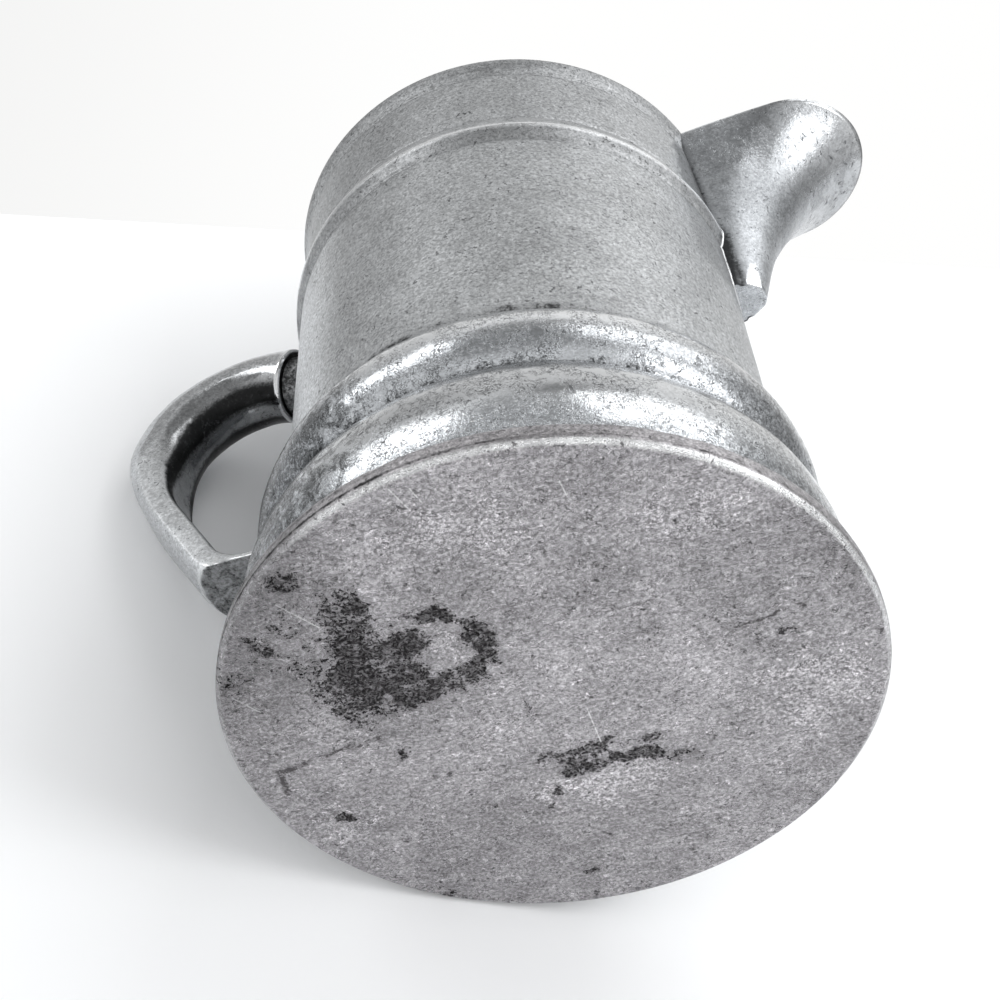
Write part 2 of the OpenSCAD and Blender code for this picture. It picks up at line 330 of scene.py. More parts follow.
row_r = np.concatenate([np.full(len(inner_low) + len(inner_up), DRUM_R - WALL),
                        rim_mid - rim_half * np.cos(roll) ** 0.7,
                        (rim_mid + rim_half * np.cos(roll) ** 0.7)[::-1],
                        drum_outside(upper)[::-1], drum_outside(lower)[::-1]])
first_cut = len(inner_low)
cut_rows = len(inner_up) + len(roll)
last_cut = first_cut + 2 * cut_rows - 1
print("drum rows:", len(row_z), "of which", 2 * cut_rows, "meet the slot")

# %% Drum grid
COLUMNS, SLOT_SLACK = 288, 0.05
slot_z = np.concatenate([inner_low * 0, inner_up, rim_z, rim_z[::-1], upper[::-1], lower * 0])
slot_r = np.where(np.arange(len(row_z)) < first_cut + cut_rows, DRUM_R - WALL, DRUM_R)
gap = mouth_angle(slot_z, slot_r, SLOT_SLACK)
gap[last_cut] = 0.0
share = np.linspace(0, 1, COLUMNS + 1)
angle = gap[:, None] + (2 * np.pi - 2 * gap[:, None]) * share
radius = np.repeat(row_r[:, None], COLUMNS + 1, 1)
side = np.abs(DRUM_R * np.sin(angle))
hidden = (np.cos(angle) > 0) * eased(0.3, 1.0, spout_shape(row_z)[0][:, None] - side)
plain = np.minimum(radius, DRUM_R)
radius = radius + (plain - radius) * hidden
drum_grid = np.stack([radius * np.cos(angle), radius * np.sin(angle),
                      np.repeat(row_z[:, None], COLUMNS + 1, 1)], -1)
outer_row = (np.arange(len(row_z)) > last_cut - len(upper))[:, None]
wave = uneven(drum_grid, (0.05, 11.0, 1), (0.025, 3.5, 2)) - 0.04
drum_grid = push_out(drum_grid, np.where(outer_row, wave, 0.0))
left = np.arange(first_cut, first_cut + cut_rows - 1)
right = first_cut + last_cut - left
edge = np.stack([left, left + 1, right - 1, right], -1) * (COLUMNS + 1)
slot_edges = np.concatenate([edge, edge + COLUMNS])
print("drum grid of", drum_grid.shape[:2], "points and", len(slot_edges), "faces along the slot")

# %% [markdown]
# Years of use are written on the drum as well. Dirt stays in the lines beside the bead, under the
# rim band and along the spout. The corner above the foot gets a broken dark band: dirt, and painted
# shade where the drum would reflect the shaded top of the foot. The ridge of the bead and the top
# of the rim are rubbed bright.

# %% Drum wear
from_bead = row_z - BEAD_Z
crease = np.where(from_bead > 0, 0.45, 0.26) * bell(np.abs(from_bead), BEAD_H / 2, 0.40)
crease += 0.45 * bell(row_z, BAND_Z, 0.22)
crease += 0.34 * between(0.3, 0.8, 2.2, 2.6, from_bead)
crease += 0.30 * between(-2.6, -2.0, -1.1, -0.7, from_bead)
broken_dirt_and_shade = 0.54 + uneven(drum_grid, (0.35, 9.0, 21), (0.25, 2.0, 26))
# painted shade and dirt: the broken dark band in the corner above the foot, where the drum would reflect
# the foot's shaded top
crease = crease[:, None] + (1 - eased(32.9, 34.4, row_z))[:, None] * broken_dirt_and_shade
ridge = bell(from_bead, BEAD_RIDGE, 0.34) + 0.7 * eased(BODY_H - 0.9, BODY_H - 0.2, row_z)
ridge = ridge[:, None] * outer_row
from_joint = np.where(np.cos(angle) > 0, side - spout_shape(row_z)[0][:, None], 90.0)
near_spout = np.exp(-np.maximum(from_joint, 0) / 0.5) * eased(TAIL_Z - 1.5, TAIL_Z, row_z)[:, None]
inside_dirt = 0.35 * (row_z < 8)[:, None] + 0.12
drum_dirt_and_shade = np.where(outer_row, crease + 0.45 * near_spout, inside_dirt)
drum = lay_mesh("drum_wall", drum_grid, ridge, drum_dirt_and_shade, "rows", slot_edges)

# %% [markdown]
# ## Foot moulding
# The foot is one ring turned on a lathe with two rounded swells and a groove between them. Its
# profile is two arcs, each given by its width and by how far it stands out, and a closing line
# inside the drum wall where nobody sees it. Lumps of a few millimetres make the highlights wander
# as they do on hand-polished pewter.

# %% Foot moulding
FOOT_COLUMNS = 320


def swell(low, high, out, count):
    """Arc through (DRUM_R + GROOVE_OUT) at both heights that stands out by `out` in the middle."""
    half, rise = (high - low) / 2, out - GROOVE_OUT
    r = (half**2 + rise**2) / (2 * rise)
    reach = np.arcsin(half / r)
    a = np.linspace(-reach, reach, count)
    return np.stack([DRUM_R + out - r + r * np.cos(a), (low + high) / 2 + r * np.sin(a)], -1)


foot_line = np.concatenate([[[DRUM_R + 0.2, PLATE_T]], swell(PLATE_T, GROOVE_Z, LOWER_RING_OUT, 90),
                            swell(GROOVE_Z, FOOT_H, UPPER_RING_OUT, 70), [[DRUM_R - 0.4, FOOT_H]]])
foot_line = soften(walk(foot_line, 190), 2)
foot_back = np.stack([np.full(12, DRUM_R - 0.5), np.linspace(FOOT_H - 1, PLATE_T + 0.1, 12)], -1)
foot_grid = turned(np.concatenate([foot_line, foot_back]), FOOT_COLUMNS)
foot_wave = uneven(foot_grid, (0.09, 9.0, 3), (0.045, 3.2, 4), (0.015, 1.2, 5)) - 0.1
standing = eased(0.2, 1.2, np.linalg.norm(foot_grid[..., :2], axis=-1) - DRUM_R)
foot_grid = push_out(foot_grid, foot_wave * standing)
height = foot_grid[..., 2]
in_groove = 0.58 * bell(height, GROOVE_Z, 0.7) + 0.5 * bell(height, PLATE_T, 0.8)
in_groove += 0.45 * bell(height, FOOT_H, 0.5)
turn_deg = np.degrees(np.arctan2(foot_grid[..., 1], foot_grid[..., 0]))
handle_side = eased(104, 128, np.abs(turn_deg) + 9 * lumps(foot_grid, 7.0, 22))
missed = 0.22 * handle_side
low_half = np.where(height > GROOVE_Z, (FOOT_H - height) / (FOOT_H - GROOVE_Z),
                    (GROOVE_Z - height) / (GROOVE_Z - PLATE_T))
polished = (1 - eased(0.35, 0.75, low_half)) * eased(0.05, 0.2, low_half) * (1 - handle_side)
foot = lay_mesh("foot_moulding", foot_grid, polished, in_groove + missed, "rows and columns")

# %% [markdown]
# ## Base disc
# The disc closes the jug below and stands out as a flange. Its underside is the largest surface in
# the picture, and its edge has been knocked for years, so the profile is a flat disc with softened
# chamfers, and the edge is pressed in by a few dents of its own.

# %% Base disc
DISC_COLUMNS = 352
disc_line = np.concatenate([
    walk([[0, 0], [PLATE_R - 2.5, 0]], 130),
    soften(walk([[PLATE_R - 2.4, 0], [PLATE_R - PLATE_CHAMFER, 0], [PLATE_R, PLATE_CHAMFER],
                 [PLATE_R, PLATE_T - 0.35], [PLATE_R - 0.35, PLATE_T], [PLATE_R - 2.4, PLATE_T]], 70), 4),
    walk([[PLATE_R - 2.5, PLATE_T], [DRUM_R - WALL - 1, PLATE_T]], 12),
    walk([[DRUM_R - WALL - 2, PLATE_T], [0, PLATE_T]], 60)])
disc_grid = turned(disc_line, DISC_COLUMNS)
disc_r = np.linalg.norm(disc_grid[..., :2], axis=-1)
below = disc_grid[..., 2] < 0.05
rim_zone = eased(PLATE_R - 2.2, PLATE_R - 0.2, disc_r)
dent = 0.015 + 0.10 * np.maximum(lumps(disc_grid, 5.0, 6), 0)
dent += 0.22 * np.maximum(lumps(disc_grid, 2.2, 7) - 0.55, 0)
disc_grid = push_out(disc_grid, -dent * rim_zone)
worn_flat = 0.035 * (1 + lumps(disc_grid, 7.0, 8)) + 0.012 * (1 + lumps(disc_grid, 1.8, 9))
disc_grid[..., 2] += np.where(below, worn_flat * (1 - 0.6 * rim_zone), 0)
print("base disc: the deepest dent is", round(float(dent.max()), 2), "mm")

# %% [markdown]
# The lower chamfer is rubbed white from the front round to the spout and less elsewhere: polish,
# with painted shade on the left, where the chamfer is kept dull because it would reflect shade there.
# Dirt lies in two lines on the side wall, in a broken ring just inside the edge and in the corner
# under the foot.

# %% Base disc wear
disc_z = disc_grid[..., 2]
round_deg = np.degrees(np.arctan2(disc_grid[..., 1], disc_grid[..., 0]))
# painted shade: the chamfer's polish fades on the left, where it would reflect shade
polished_and_lit_side = between(-124, -108, -20, 10, round_deg) * (1 - 0.5 * bell(round_deg, -84, 9))
left_side = eased(0.3, 0.9, np.cos(np.radians(round_deg + 145)))
chamfer = 1.3 * np.exp(-((np.hypot(disc_r - PLATE_R + 0.38, disc_z - 0.38) / 0.40) ** 4))
chamfer *= (0.85 + 0.35 * lumps(disc_grid, 4.0, 24)) * (0.22 + 0.78 * polished_and_lit_side)
side_lines = (0.50 + 0.40 * left_side) * bell(disc_z, 1.05, 0.28)
side_lines += 0.55 * left_side * bell(disc_z, 2.1, 0.40)
edge_ring = 0.28 * bell(disc_r, PLATE_R - 1.5, 0.6) * (0.6 + 0.6 * lumps(disc_grid, 6.0, 27))
corner_dirt = 0.5 * bell(disc_r, DRUM_R + 1.2, 0.9) * (disc_z > 1.5)
disc_dirt = corner_dirt + side_lines * (disc_r > PLATE_R - 0.6) + edge_ring * below
disc = lay_mesh("base_disc", disc_grid, chamfer, disc_dirt, "columns")

# %% [markdown]
# ## Spout
# The spout is a beak of sheet pewter with a solid tail. Its surface is one sheet that runs up the
# outside, over the rounded lip, down the channel and back under the cut tail; its two ends meet
# inside the drum wall. Each row is a level path across the spout, from the joint on one side to the
# joint on the other, with points at even steps. A last shear lifts the lip towards its tip.

# %% Spout paths
JOIN_R = DRUM_R - 0.4
ACROSS = 150
FILE_X, FILE_Y, FILE_SQUARE, FILE_DEPTH = 0.57, 0.8, 0.965, 0.32
NIP_SOFT, FAR_OUT = 0.30, 50.0
TAIL_TOP = TAIL_Z + NIP_H
ROUND_FRONT = np.radians(np.linspace(90, -90, 90))[None, :]
ALONG_SIDE = np.linspace(0, 1, 24)[None, :-1]


def even_rows(paths):
    """Every path of a stack, stepped evenly along its own length."""
    return np.stack([walk(path, ACROSS) for path in paths])


def drum_x(y):
    """Where the drum stands at a distance y from the middle plane."""
    return np.sqrt(JOIN_R**2 - y * y)


def past_facet(x, y, z, half, keel, nose):
    """How far a point stands beyond the filed corner of the tail: the file's direction times (x, |y|),
    against the largest such value of the ellipse, less a depth that runs out over the nip's height."""
    reach = FILE_X * (keel - nose) + np.hypot(FILE_X * nose, FILE_Y * half)
    return FILE_X * x + FILE_Y * np.abs(y) - reach + FILE_DEPTH * (1 - (z - TAIL_Z) / NIP_H)


def outer_paths(z, inset=0.0):
    """Straight sides and half ellipse of the outside at each height, with the nipped tail taken in."""
    half, keel, nose = (part[:, None] - inset for part in spout_shape(z))
    z = z[:, None]
    start = drum_x(half)
    leg = start + (keel - nose - start) * ALONG_SIDE
    x = np.concatenate([leg, keel - nose + nose * np.cos(ROUND_FRONT), leg[:, ::-1]], 1)
    y = np.concatenate([half + 0 * leg, half * np.sin(ROUND_FRONT), -half + 0 * leg], 1)
    top_half = spout_shape(np.array(TAIL_TOP))[0]
    nip = TAIL_W / 2 - NIP_IN - inset + (z - TAIL_Z) / NIP_H * (top_half - TAIL_W / 2 + NIP_IN)
    nip = nip + 1.5 * (1 - eased(DRUM_R + 0.2, DRUM_R + 1.0, x)) + FAR_OUT * (z > TAIL_TOP)
    y = np.sign(y) * (-NIP_SOFT * np.logaddexp(-np.abs(y) / NIP_SOFT, -nip / NIP_SOFT))
    filed = np.maximum(past_facet(x, y, z, half, keel, nose), 0) * (z < TAIL_TOP)
    filed = filed / FILE_SQUARE
    return np.stack([x - FILE_X * filed, y - FILE_Y * filed * np.sign(y)], -1)


def inner_paths(z, inset=0.0):
    """Along the drum, out along the channel's side, round its front and back, never inside the drum."""
    outer_half = spout_shape(z)[0][:, None] - inset
    half, keel, nose = (part[:, None] for part in channel_shape(z))
    y_drum = outer_half + (half - outer_half) * ALONG_SIDE
    leg = drum_x(half) + np.maximum(keel - nose - drum_x(half), 0) * ALONG_SIDE
    front_x, front_y = keel - nose + nose * np.cos(ROUND_FRONT), half * np.sin(ROUND_FRONT)
    y = np.concatenate([y_drum, half + 0 * leg, front_y, -half + 0 * leg, -y_drum[:, ::-1]], 1)
    x = np.concatenate([0 * y_drum, leg, front_x, leg[:, ::-1], 0 * y_drum], 1)
    return np.stack([np.maximum(x, drum_x(y)), y], -1)


print("spout paths have", ACROSS, "points; the tail is nipped up to", TAIL_TOP, "mm")


# %% Spout grid
LIP_ROUND = 0.22
levels = np.concatenate([TAIL_Z + np.array([0.25, 0.6, 1.0]), np.linspace(TAIL_Z + 1.4, LIP_TOP - 3, 72),
                         np.linspace(LIP_TOP - 2.7, LIP_TOP - LIP_ROUND, 8)])
outside_z = np.concatenate([[TAIL_Z, TAIL_Z + 0.08], levels])
taken_in = np.concatenate([[0.3, 0.1], 0 * levels])[:, None]
outside = even_rows(outer_paths(outside_z, taken_in))
inside = even_rows(inner_paths(outside_z, taken_in))
inside[:, [0, -1]] = outside[:, [0, -1]]  # both sheets end on the same points
lip_roll = np.radians(np.linspace(0, 180, 12)[1:-1])[:, None, None]
lip_rows = (outside[-1] + inside[-1]) / 2 + (outside[-1] - inside[-1]) / 2 * np.cos(lip_roll)
lip_z = outside_z[-1] + LIP_ROUND * np.sin(lip_roll[:, 0, 0]) ** 0.6
under = np.linspace(0, 1, 8)[1:-1, None, None]
under_rows = inside[0] + (outside[0] - inside[0]) * under
spout_xy = np.concatenate([outside, lip_rows, inside[::-1], under_rows])
spout_z = np.concatenate([outside_z, lip_z, outside_z[::-1], np.full(len(under), TAIL_Z)])
apart = np.maximum(np.linalg.norm(spout_xy, axis=-1) - DRUM_R, 0)
lip_line = BODY_H + (spout_xy[..., 0] - DRUM_R) * LIP_RISE / SPOUT_OUT - 0.8 * np.exp(-apart / 2.2)
spout_height = TAIL_Z + (spout_z[:, None] - TAIL_Z) * (lip_line - TAIL_Z) / (LIP_TOP - TAIL_Z)
spout_grid = np.concatenate([spout_xy, spout_height[..., None]], -1)
free = eased(DRUM_R + 0.3, DRUM_R + 2.5, np.linalg.norm(spout_grid[..., :2], axis=-1))
beaten = uneven(spout_grid, (0.06, 6.5, 10), (0.03, 2.6, 11)) - 0.07
spout_y = spout_grid[..., 1]
spout_grid[..., 1] += np.sign(spout_y) * beaten * free * np.minimum(np.abs(spout_y), 1)
spout_grid[..., 0] += (0.05 * lumps(spout_grid, 5.0, 12) - 0.05) * free
print("spout grid of", spout_grid.shape[:2], "points")

# %% Spout piece
row = np.arange(len(spout_xy))[:, None]
on_outside = row < len(outside)
over_lip = bell(row, len(outside) + 4.5, 5.0)
rise = (spout_grid[..., 2] - TAIL_Z) / (LIP_TOP - TAIL_Z)
front = bell(np.linspace(0, 1, ACROSS)[None, :], 0.5, 0.22)
handled = over_lip + 0.3 * eased(0.55, 0.90, rise) * front * on_outside
facet = past_facet(spout_grid[..., 0], spout_grid[..., 1], spout_z[:, None],
                   *(part[:, None] for part in spout_shape(spout_z)))
nipped = eased(-0.16, -0.06, facet) * (spout_grid[..., 2] < TAIL_TOP - 0.4) * on_outside
over_bead = eased(BEAD_Z - 1.5, BEAD_Z + 2.5, spout_grid[..., 2])
# dirt along the joint, and below the bead a painted shadow: a dark strip on the spout beside the seam
joint_dirt_and_shadow = 1.3 * bell(apart, 0.0, 1.9) * (1 - over_bead) + 0.8 * np.exp(-apart / 0.8) * over_bead
joint_dirt_and_shadow = joint_dirt_and_shadow * on_outside + 0.22 * (row >= len(outside) + len(lip_rows))
tail_cut = 0.15 * (row >= len(spout_xy) - len(under))
spout = lay_mesh("spout_beak", spout_grid, handled + nipped, joint_dirt_and_shadow * (1 - nipped) + tail_cut, "rows")

# %% [markdown]
# ## Handle
# The handle was cast in one piece: a round upper arm that starts at a collar, a bend, and a lower
# arm that is a flat strap with a crowned outer face. It ends in a heel that is filed flat. A sweep
# suits it: a route of arcs and a line in the plane y = 0, and a section that changes from a circle
# to a rounded strap on the way. The section is a superellipse, so one power does both.

# %% Handle route
ARM_D, STRAP_W, STRAP_T, STRAP_CROWN = 11.0, 10.4, 5.0, 1.2
COLLAR_X, BEND_X, BOW_R, JOINT_Z = 34.9, 55.3, 15.0, 75.9
HEEL_CUT_Z, HEEL_Z, HEEL_R, HEEL_X = 33.1, 32.4, 8.4, 38.0
BOW_C = np.array([BEND_X - BOW_R, JOINT_Z])
START = np.arccos((COLLAR_X - BOW_C[0]) / BOW_R)
BOW_C[1] -= BOW_R * np.sin(START)
BEND_R = BOW_C[1] - HEEL_Z
BEND_C = np.array([BEND_X - BEND_R, BOW_C[1]])
HEEL_C = np.array([HEEL_X, HEEL_Z + HEEL_R])
span = HEEL_C - BEND_C
SLOPE = np.arctan2(span[1], span[0]) + np.arccos((BEND_R - HEEL_R) / np.linalg.norm(span))


def bow(centre, r, a0, a1, count):
    """Arc of the route, as distance from the axis and height, with its heading a - 90 degrees."""
    a = np.linspace(a0, a1, count)
    return np.stack([centre[0] + r * np.cos(a), centre[1] + r * np.sin(a), a - np.pi / 2], -1)


slope_out = np.array([np.cos(SLOPE), np.sin(SLOPE)])
arm_from, arm_to = BEND_C + BEND_R * slope_out, HEEL_C + HEEL_R * slope_out
t = np.linspace(0, 1, 30)[1:-1, None]
strap_line = np.concatenate([arm_from + (arm_to - arm_from) * t, np.full_like(t, SLOPE - np.pi / 2)], 1)
run_in_x = np.linspace(HEEL_X - 0.3, DRUM_R - 0.9, 18)
run_in = np.stack([run_in_x, np.full_like(run_in_x, HEEL_Z), np.full_like(run_in_x, -np.pi)], -1)
route = np.concatenate([bow(BOW_C, BOW_R, START, 0, 70), bow(BEND_C, BEND_R, 0, SLOPE, 36)[1:],
                        strap_line, bow(HEEL_C, HEEL_R, SLOPE, -np.pi / 2, 40), run_in])
print("handle route of", len(route), "stations; the strap slopes", round(np.degrees(SLOPE), 1), "degrees")

# %% Handle sweep
AROUND = 72
FLARE, FLARE_REACH = 0.45, 9.4
STRAP_POWER = 0.34
reach, high, heading = (route[:, k, None] for k in range(3))
flat = eased(-(BOW_C[1] + 0.45 * BOW_R), -(BOW_C[1] - 0.42 * BEND_R), -high)
flare = FLARE * np.maximum(0, 1 - (reach - COLLAR_X) / FLARE_REACH) ** 4 * (high > BOW_C[1])
half_t = (ARM_D + (STRAP_T - ARM_D) * flat) / 2 + flare
half_w = (ARM_D + (STRAP_W - ARM_D) * flat) / 2 + flare
power = 1 + (STRAP_POWER - 1) * flat
a = np.linspace(0, 2 * np.pi, AROUND, endpoint=False)[None, :]
flank = np.sign(np.sin(a)) * np.abs(np.sin(a)) ** power
depth = np.abs(np.cos(a)) ** power
crown = STRAP_CROWN * flat
outer_face = (half_t - crown) * depth + crown * (1 - flank**2)
across = np.where(np.cos(a) > 0, outer_face, -half_t * depth)
handle_grid = np.stack([-(reach - across * np.sin(heading)), half_w * flank,
                        high + across * np.cos(heading)], -1)


def shrink(ring, by):
    """A ring drawn in towards its own middle by a share."""
    return ring + (ring.mean(0) - ring) * by


COLLAR_CAP, COLLAR_EDGE, HEEL_CAP = (1.0, 0.6, 0.3, 0.12), 0.05, (0.4, 0.8, 1.0)
HEEL_SOFT = 0.1
collar = handle_grid[0]
handle_grid = np.concatenate([[shrink(collar, k) for k in COLLAR_CAP + (COLLAR_EDGE,)], handle_grid[1:],
                              [shrink(handle_grid[-1], k) for k in HEEL_CAP]])
cast = uneven(handle_grid, (0.10, 6.0, 13), (0.045, 2.8, 14)) - 0.12
arm_out = handle_grid - handle_grid.mean(1, keepdims=True)
arm_out = arm_out / np.maximum(np.linalg.norm(arm_out, axis=-1, keepdims=True), 0.5)
handle_grid = handle_grid + arm_out * cast[..., None]
on_heel = (np.abs(handle_grid[..., 0]) < 52) & (handle_grid[..., 2] < 50)
filed = HEEL_CUT_Z + HEEL_SOFT * np.logaddexp(0, (handle_grid[..., 2] - HEEL_CUT_Z) / HEEL_SOFT)
handle_grid[..., 2] = np.where(on_heel, filed, handle_grid[..., 2])
print("handle grid of", handle_grid.shape[:2], "points,", int(on_heel.sum()), "of them on the heel")

# %% Handle piece
height = handle_grid[..., 2]
station = np.arange(len(handle_grid))[:, None]
under_collar = station < len(COLLAR_CAP)
rim_line = ~under_collar & (station < len(COLLAR_CAP) + 3)
under_deg = np.degrees(np.arctan2(-np.cos(a), np.abs(np.sin(a)))) + 5 * lumps(handle_grid, 4.0, 25)
inner_side = eased(20, 58, under_deg) * (1 - 0.72 * eased(62, 84, under_deg))
# dirt and painted reflection: the inside of the bend is darkened where it would mirror the shaded drum and
# cloth
unwiped_and_dark_reflection = 1.35 * inner_side * np.interp(height, [HEEL_Z, BOW_C[1] - 12, BOW_C[1] - 4], [0.35, 0.7, 1.0])
heel_face = bell(height, HEEL_CUT_Z, 0.25) * on_heel
heel_edge = bell(height, HEEL_CUT_Z + 0.45, 0.3) * on_heel
by_drum = np.exp(-np.maximum(np.abs(handle_grid[..., 0]) - DRUM_R, 0) / 1.0) * (height < 45)
# painted shade: the recess inside the collar is made dark, as is the inside of the bend
handle_dirt_and_shade = 0.66 * heel_face + 0.5 * by_drum + unwiped_and_dark_reflection * ~rim_line + under_collar
handle = lay_mesh("ear_handle", handle_grid, np.maximum(rim_line, 0.8 * heel_edge), handle_dirt_and_shade, "columns")

# %% [markdown]
# ## Neck of the handle
# Between the collar and the drum sits a short neck. It starts inside the collar and runs along the
# same tilt until it meets a cylinder in the middle of the drum wall: a point p on a line with
# direction d meets the cylinder where |p + s d| in the level plane equals the radius, which is a
# quadratic in s and is solved for all points at once.

# %% Neck
NECK_R, NECK_END_R, NECK_WAIST, NECK_DIRT_AND_SHADE = 4.7, DRUM_R - 0.7, 0.10, 0.72
axis = np.array([np.sin(START), 0.0, np.cos(START)])
across_axis = np.array([-axis[2], 0.0, axis[0]])
a = np.linspace(0, 2 * np.pi, 64, endpoint=False)[:, None]
begin = np.array([-COLLAR_X, 0, JOINT_Z]) - 0.5 * axis
ring = begin + NECK_R * (np.cos(a) * across_axis + np.sin(a) * np.array([0.0, 1.0, 0.0]))
b = ring[:, 0] * axis[0]
c = ring[:, 0] ** 2 + ring[:, 1] ** 2 - NECK_END_R**2
s_end = (-b - np.sqrt(b * b - axis[0] ** 2 * c)) / axis[0] ** 2
t = np.linspace(0, 1, 26)[:, None, None]
waist = 1 - NECK_WAIST * np.sin(np.pi * t)
centre_line = begin + axis * (t * s_end.mean())
neck_grid = ring + axis * (t * s_end[None, :, None])
neck_grid = centre_line + (neck_grid - centre_line) * waist
neck_grid = neck_grid + 0.05 * lumps(neck_grid, 2.0, 15)[..., None] * (neck_grid - centre_line) / NECK_R
neck_grid = np.concatenate([[shrink(neck_grid[0], 1.0)], neck_grid,
                            [shrink(neck_grid[-1], k) for k in (0.5, 1.0)]])
# painted shade with dirt: the neck sits in a dark recess between collar and drum
neck = lay_mesh("handle_neck_stub", neck_grid, 0.0, NECK_DIRT_AND_SHADE, "columns")

# %% [markdown]
# ## Solder
# Four runs of solder hold the jug together. The two round the drum are turned like the foot. The
# other two follow a path: the line where the spout meets the drum, down one side, under the tail
# and up the other, and a short line on top of the heel. A tube with a lumpy radius is enough,
# because half of it is buried in the metal.

# %% Turned solder
BURIED, SOLDER_COLUMNS = 0.3, 240


def fillet_ring(name, corner, leg_r, leg_z, seed):
    """Hollow fillet in a corner: an arc from one leg to the other, closed behind the two surfaces."""
    a = np.linspace(0, np.pi / 2, 9)
    arc = np.stack([corner[0] + leg_r * (1 - np.sin(a)), corner[1] + leg_z * (1 - np.cos(a))], -1)
    back, low = corner[0] - BURIED * np.sign(leg_r), corner[1] - BURIED
    behind = [[back, corner[1] + leg_z], [back, low], [corner[0] + leg_r, low]]
    grid = turned(np.concatenate([arc, behind]), SOLDER_COLUMNS)
    grid[..., 2] += 0.06 * lumps(grid, 3.0, seed)
    return lay_mesh(name, grid, 0.3, 0.25 + 0.5 * lumps(grid, 2.5, seed), "rows and columns")


foot_solder = fillet_ring("foot_solder_line", (DRUM_R, FOOT_H - 0.05), 0.55, 0.55, 16)
floor_solder = fillet_ring("floor_solder_line", (DRUM_R - WALL, PLATE_T), -1.6, 1.6, 17)


# %% Solder that follows a path
def unit(vectors):
    """Vectors made one long."""
    return vectors / np.linalg.norm(vectors, axis=-1, keepdims=True)


def solder_run(name, path, thick, seed, sides=14):
    """Tube round a path: a circle across the path's direction, with a radius that swells and shrinks."""
    ahead = unit(np.gradient(path, axis=0))
    beside = unit(np.cross(ahead, unit(path * np.array([1.0, 1.0, 0.0]))))
    out = np.cross(beside, ahead)
    a = np.linspace(0, 2 * np.pi, sides, endpoint=False)[None, :, None]
    end = np.sqrt(np.clip(np.sin(np.linspace(0, np.pi, len(path))) * 9, 0, 1))[:, None, None]
    size = thick * (1 + 0.35 * lumps(path, 1.6, seed))[:, None, None] * end
    grid = path[:, None] + size * (np.cos(a) * out[:, None] + np.sin(a) * beside[:, None])
    return lay_mesh(name, grid, 0.6, 0.05 + 0.35 * lumps(grid, 2.0, seed), "columns")


SEAM_LOW = TAIL_Z + 0.2
down = np.linspace(BODY_H - 0.8, SEAM_LOW, 120)
turn_under = np.linspace(0, np.pi, 24)[1:-1]
tail_half = spout_shape(np.array(TAIL_Z))[0]
side_y = spout_shape(down)[0]
seam_y = np.concatenate([side_y, tail_half * np.cos(turn_under), -side_y[::-1]])
seam_z = np.concatenate([down, SEAM_LOW - 0.4 * np.sin(turn_under), down[::-1]])
seam_r = drum_outside(seam_z) - 0.1
seam = np.stack([np.sqrt(seam_r**2 - seam_y**2), seam_y, seam_z], -1)
spout_solder = solder_run("spout_solder_line", walk(seam, 260), 0.30, 18)
HEEL_SEAM_Z, HEEL_SEAM_HALF = HEEL_CUT_Z + 1.85, 4.4
heel_a = np.linspace(-HEEL_SEAM_HALF, HEEL_SEAM_HALF, 40) / DRUM_R
heel_seam = np.stack([-DRUM_R * np.cos(heel_a), DRUM_R * np.sin(heel_a),
                      np.full_like(heel_a, HEEL_SEAM_Z)], -1)
heel_solder = solder_run("heel_solder_line", heel_seam, 0.5, 19)

# %% [markdown]
# ## Finish: pewter
# Pewter is a soft grey metal. Left alone it turns dull, with a pebbly grain, dark specks and short
# strokes from years of wiping; where it is handled it shines. One recipe makes all the finishes,
# with its own numbers for each piece: a metal whose colour drifts between two greys in clouds,
# times the grain, then specks, strokes, polish from the layer `rubbed`, and dirt with painted shade
# from the second layer. The patterns read Object coordinates, which are metres, so a noise of scale
# 1000 has features of about one millimetre. The helpers draw in one node tree at a time, the one
# that was started last, so that a formula reads almost as it would on paper.

# %% Node shorthand
tree = None


def start_nodes(owner):
    """Empties the node tree of a material or a world, and makes it the tree that is drawn in."""
    global tree
    owner.use_nodes = True
    tree = owner.node_tree
    tree.nodes.clear()


def plug(socket, value):
    """Links a socket to the output of another node, or writes a number or a colour on it."""
    if isinstance(value, bpy.types.NodeSocket):
        tree.links.new(value, socket)
    else:
        socket.default_value = value


def node(kind, inputs=None, **settings):
    """One shader node: `inputs` are numbers, colours or the outputs of other nodes."""
    made = tree.nodes.new("ShaderNode" + kind)
    for name, value in settings.items():
        setattr(made, name, value)
    for name, value in (inputs or {}).items():
        plug(made.inputs[name], value)
    return made


def layer(name):
    """A layer of numbers that rides on the points of the mesh."""
    return node("Attribute", attribute_name=name).outputs["Fac"]


def noise(place, scale, detail=2.0, bend=0.0, rough=0.5):
    """Noise between 0 and 1 with features of about 1 / scale metres."""
    return node("TexNoise", {"Vector": place, "Scale": scale, "Detail": detail, "Roughness": rough,
                             "Distortion": bend}).outputs["Fac"]


def ramp(value, low, high, start=0.0, stop=1.0):
    """Smooth step of a value between two thresholds, from start to stop."""
    return node("MapRange", {"Value": value, "From Min": low, "From Max": high, "To Min": start,
                             "To Max": stop}, interpolation_type="SMOOTHSTEP").outputs["Result"]


# %% Arithmetic with nodes
def calc(operation, a, b=0.0, held=False):
    """Arithmetic on two values, held between 0 and 1 where asked."""
    return node("Math", {0: a, 1: b}, operation=operation, use_clamp=held).outputs[0]


def vector(operation, *values, result="Vector", **named):
    """Arithmetic on vectors; lengths, distances and dot products have the result "Value"."""
    return node("VectorMath", {**dict(enumerate(values)), **named}, operation=operation).outputs[result]


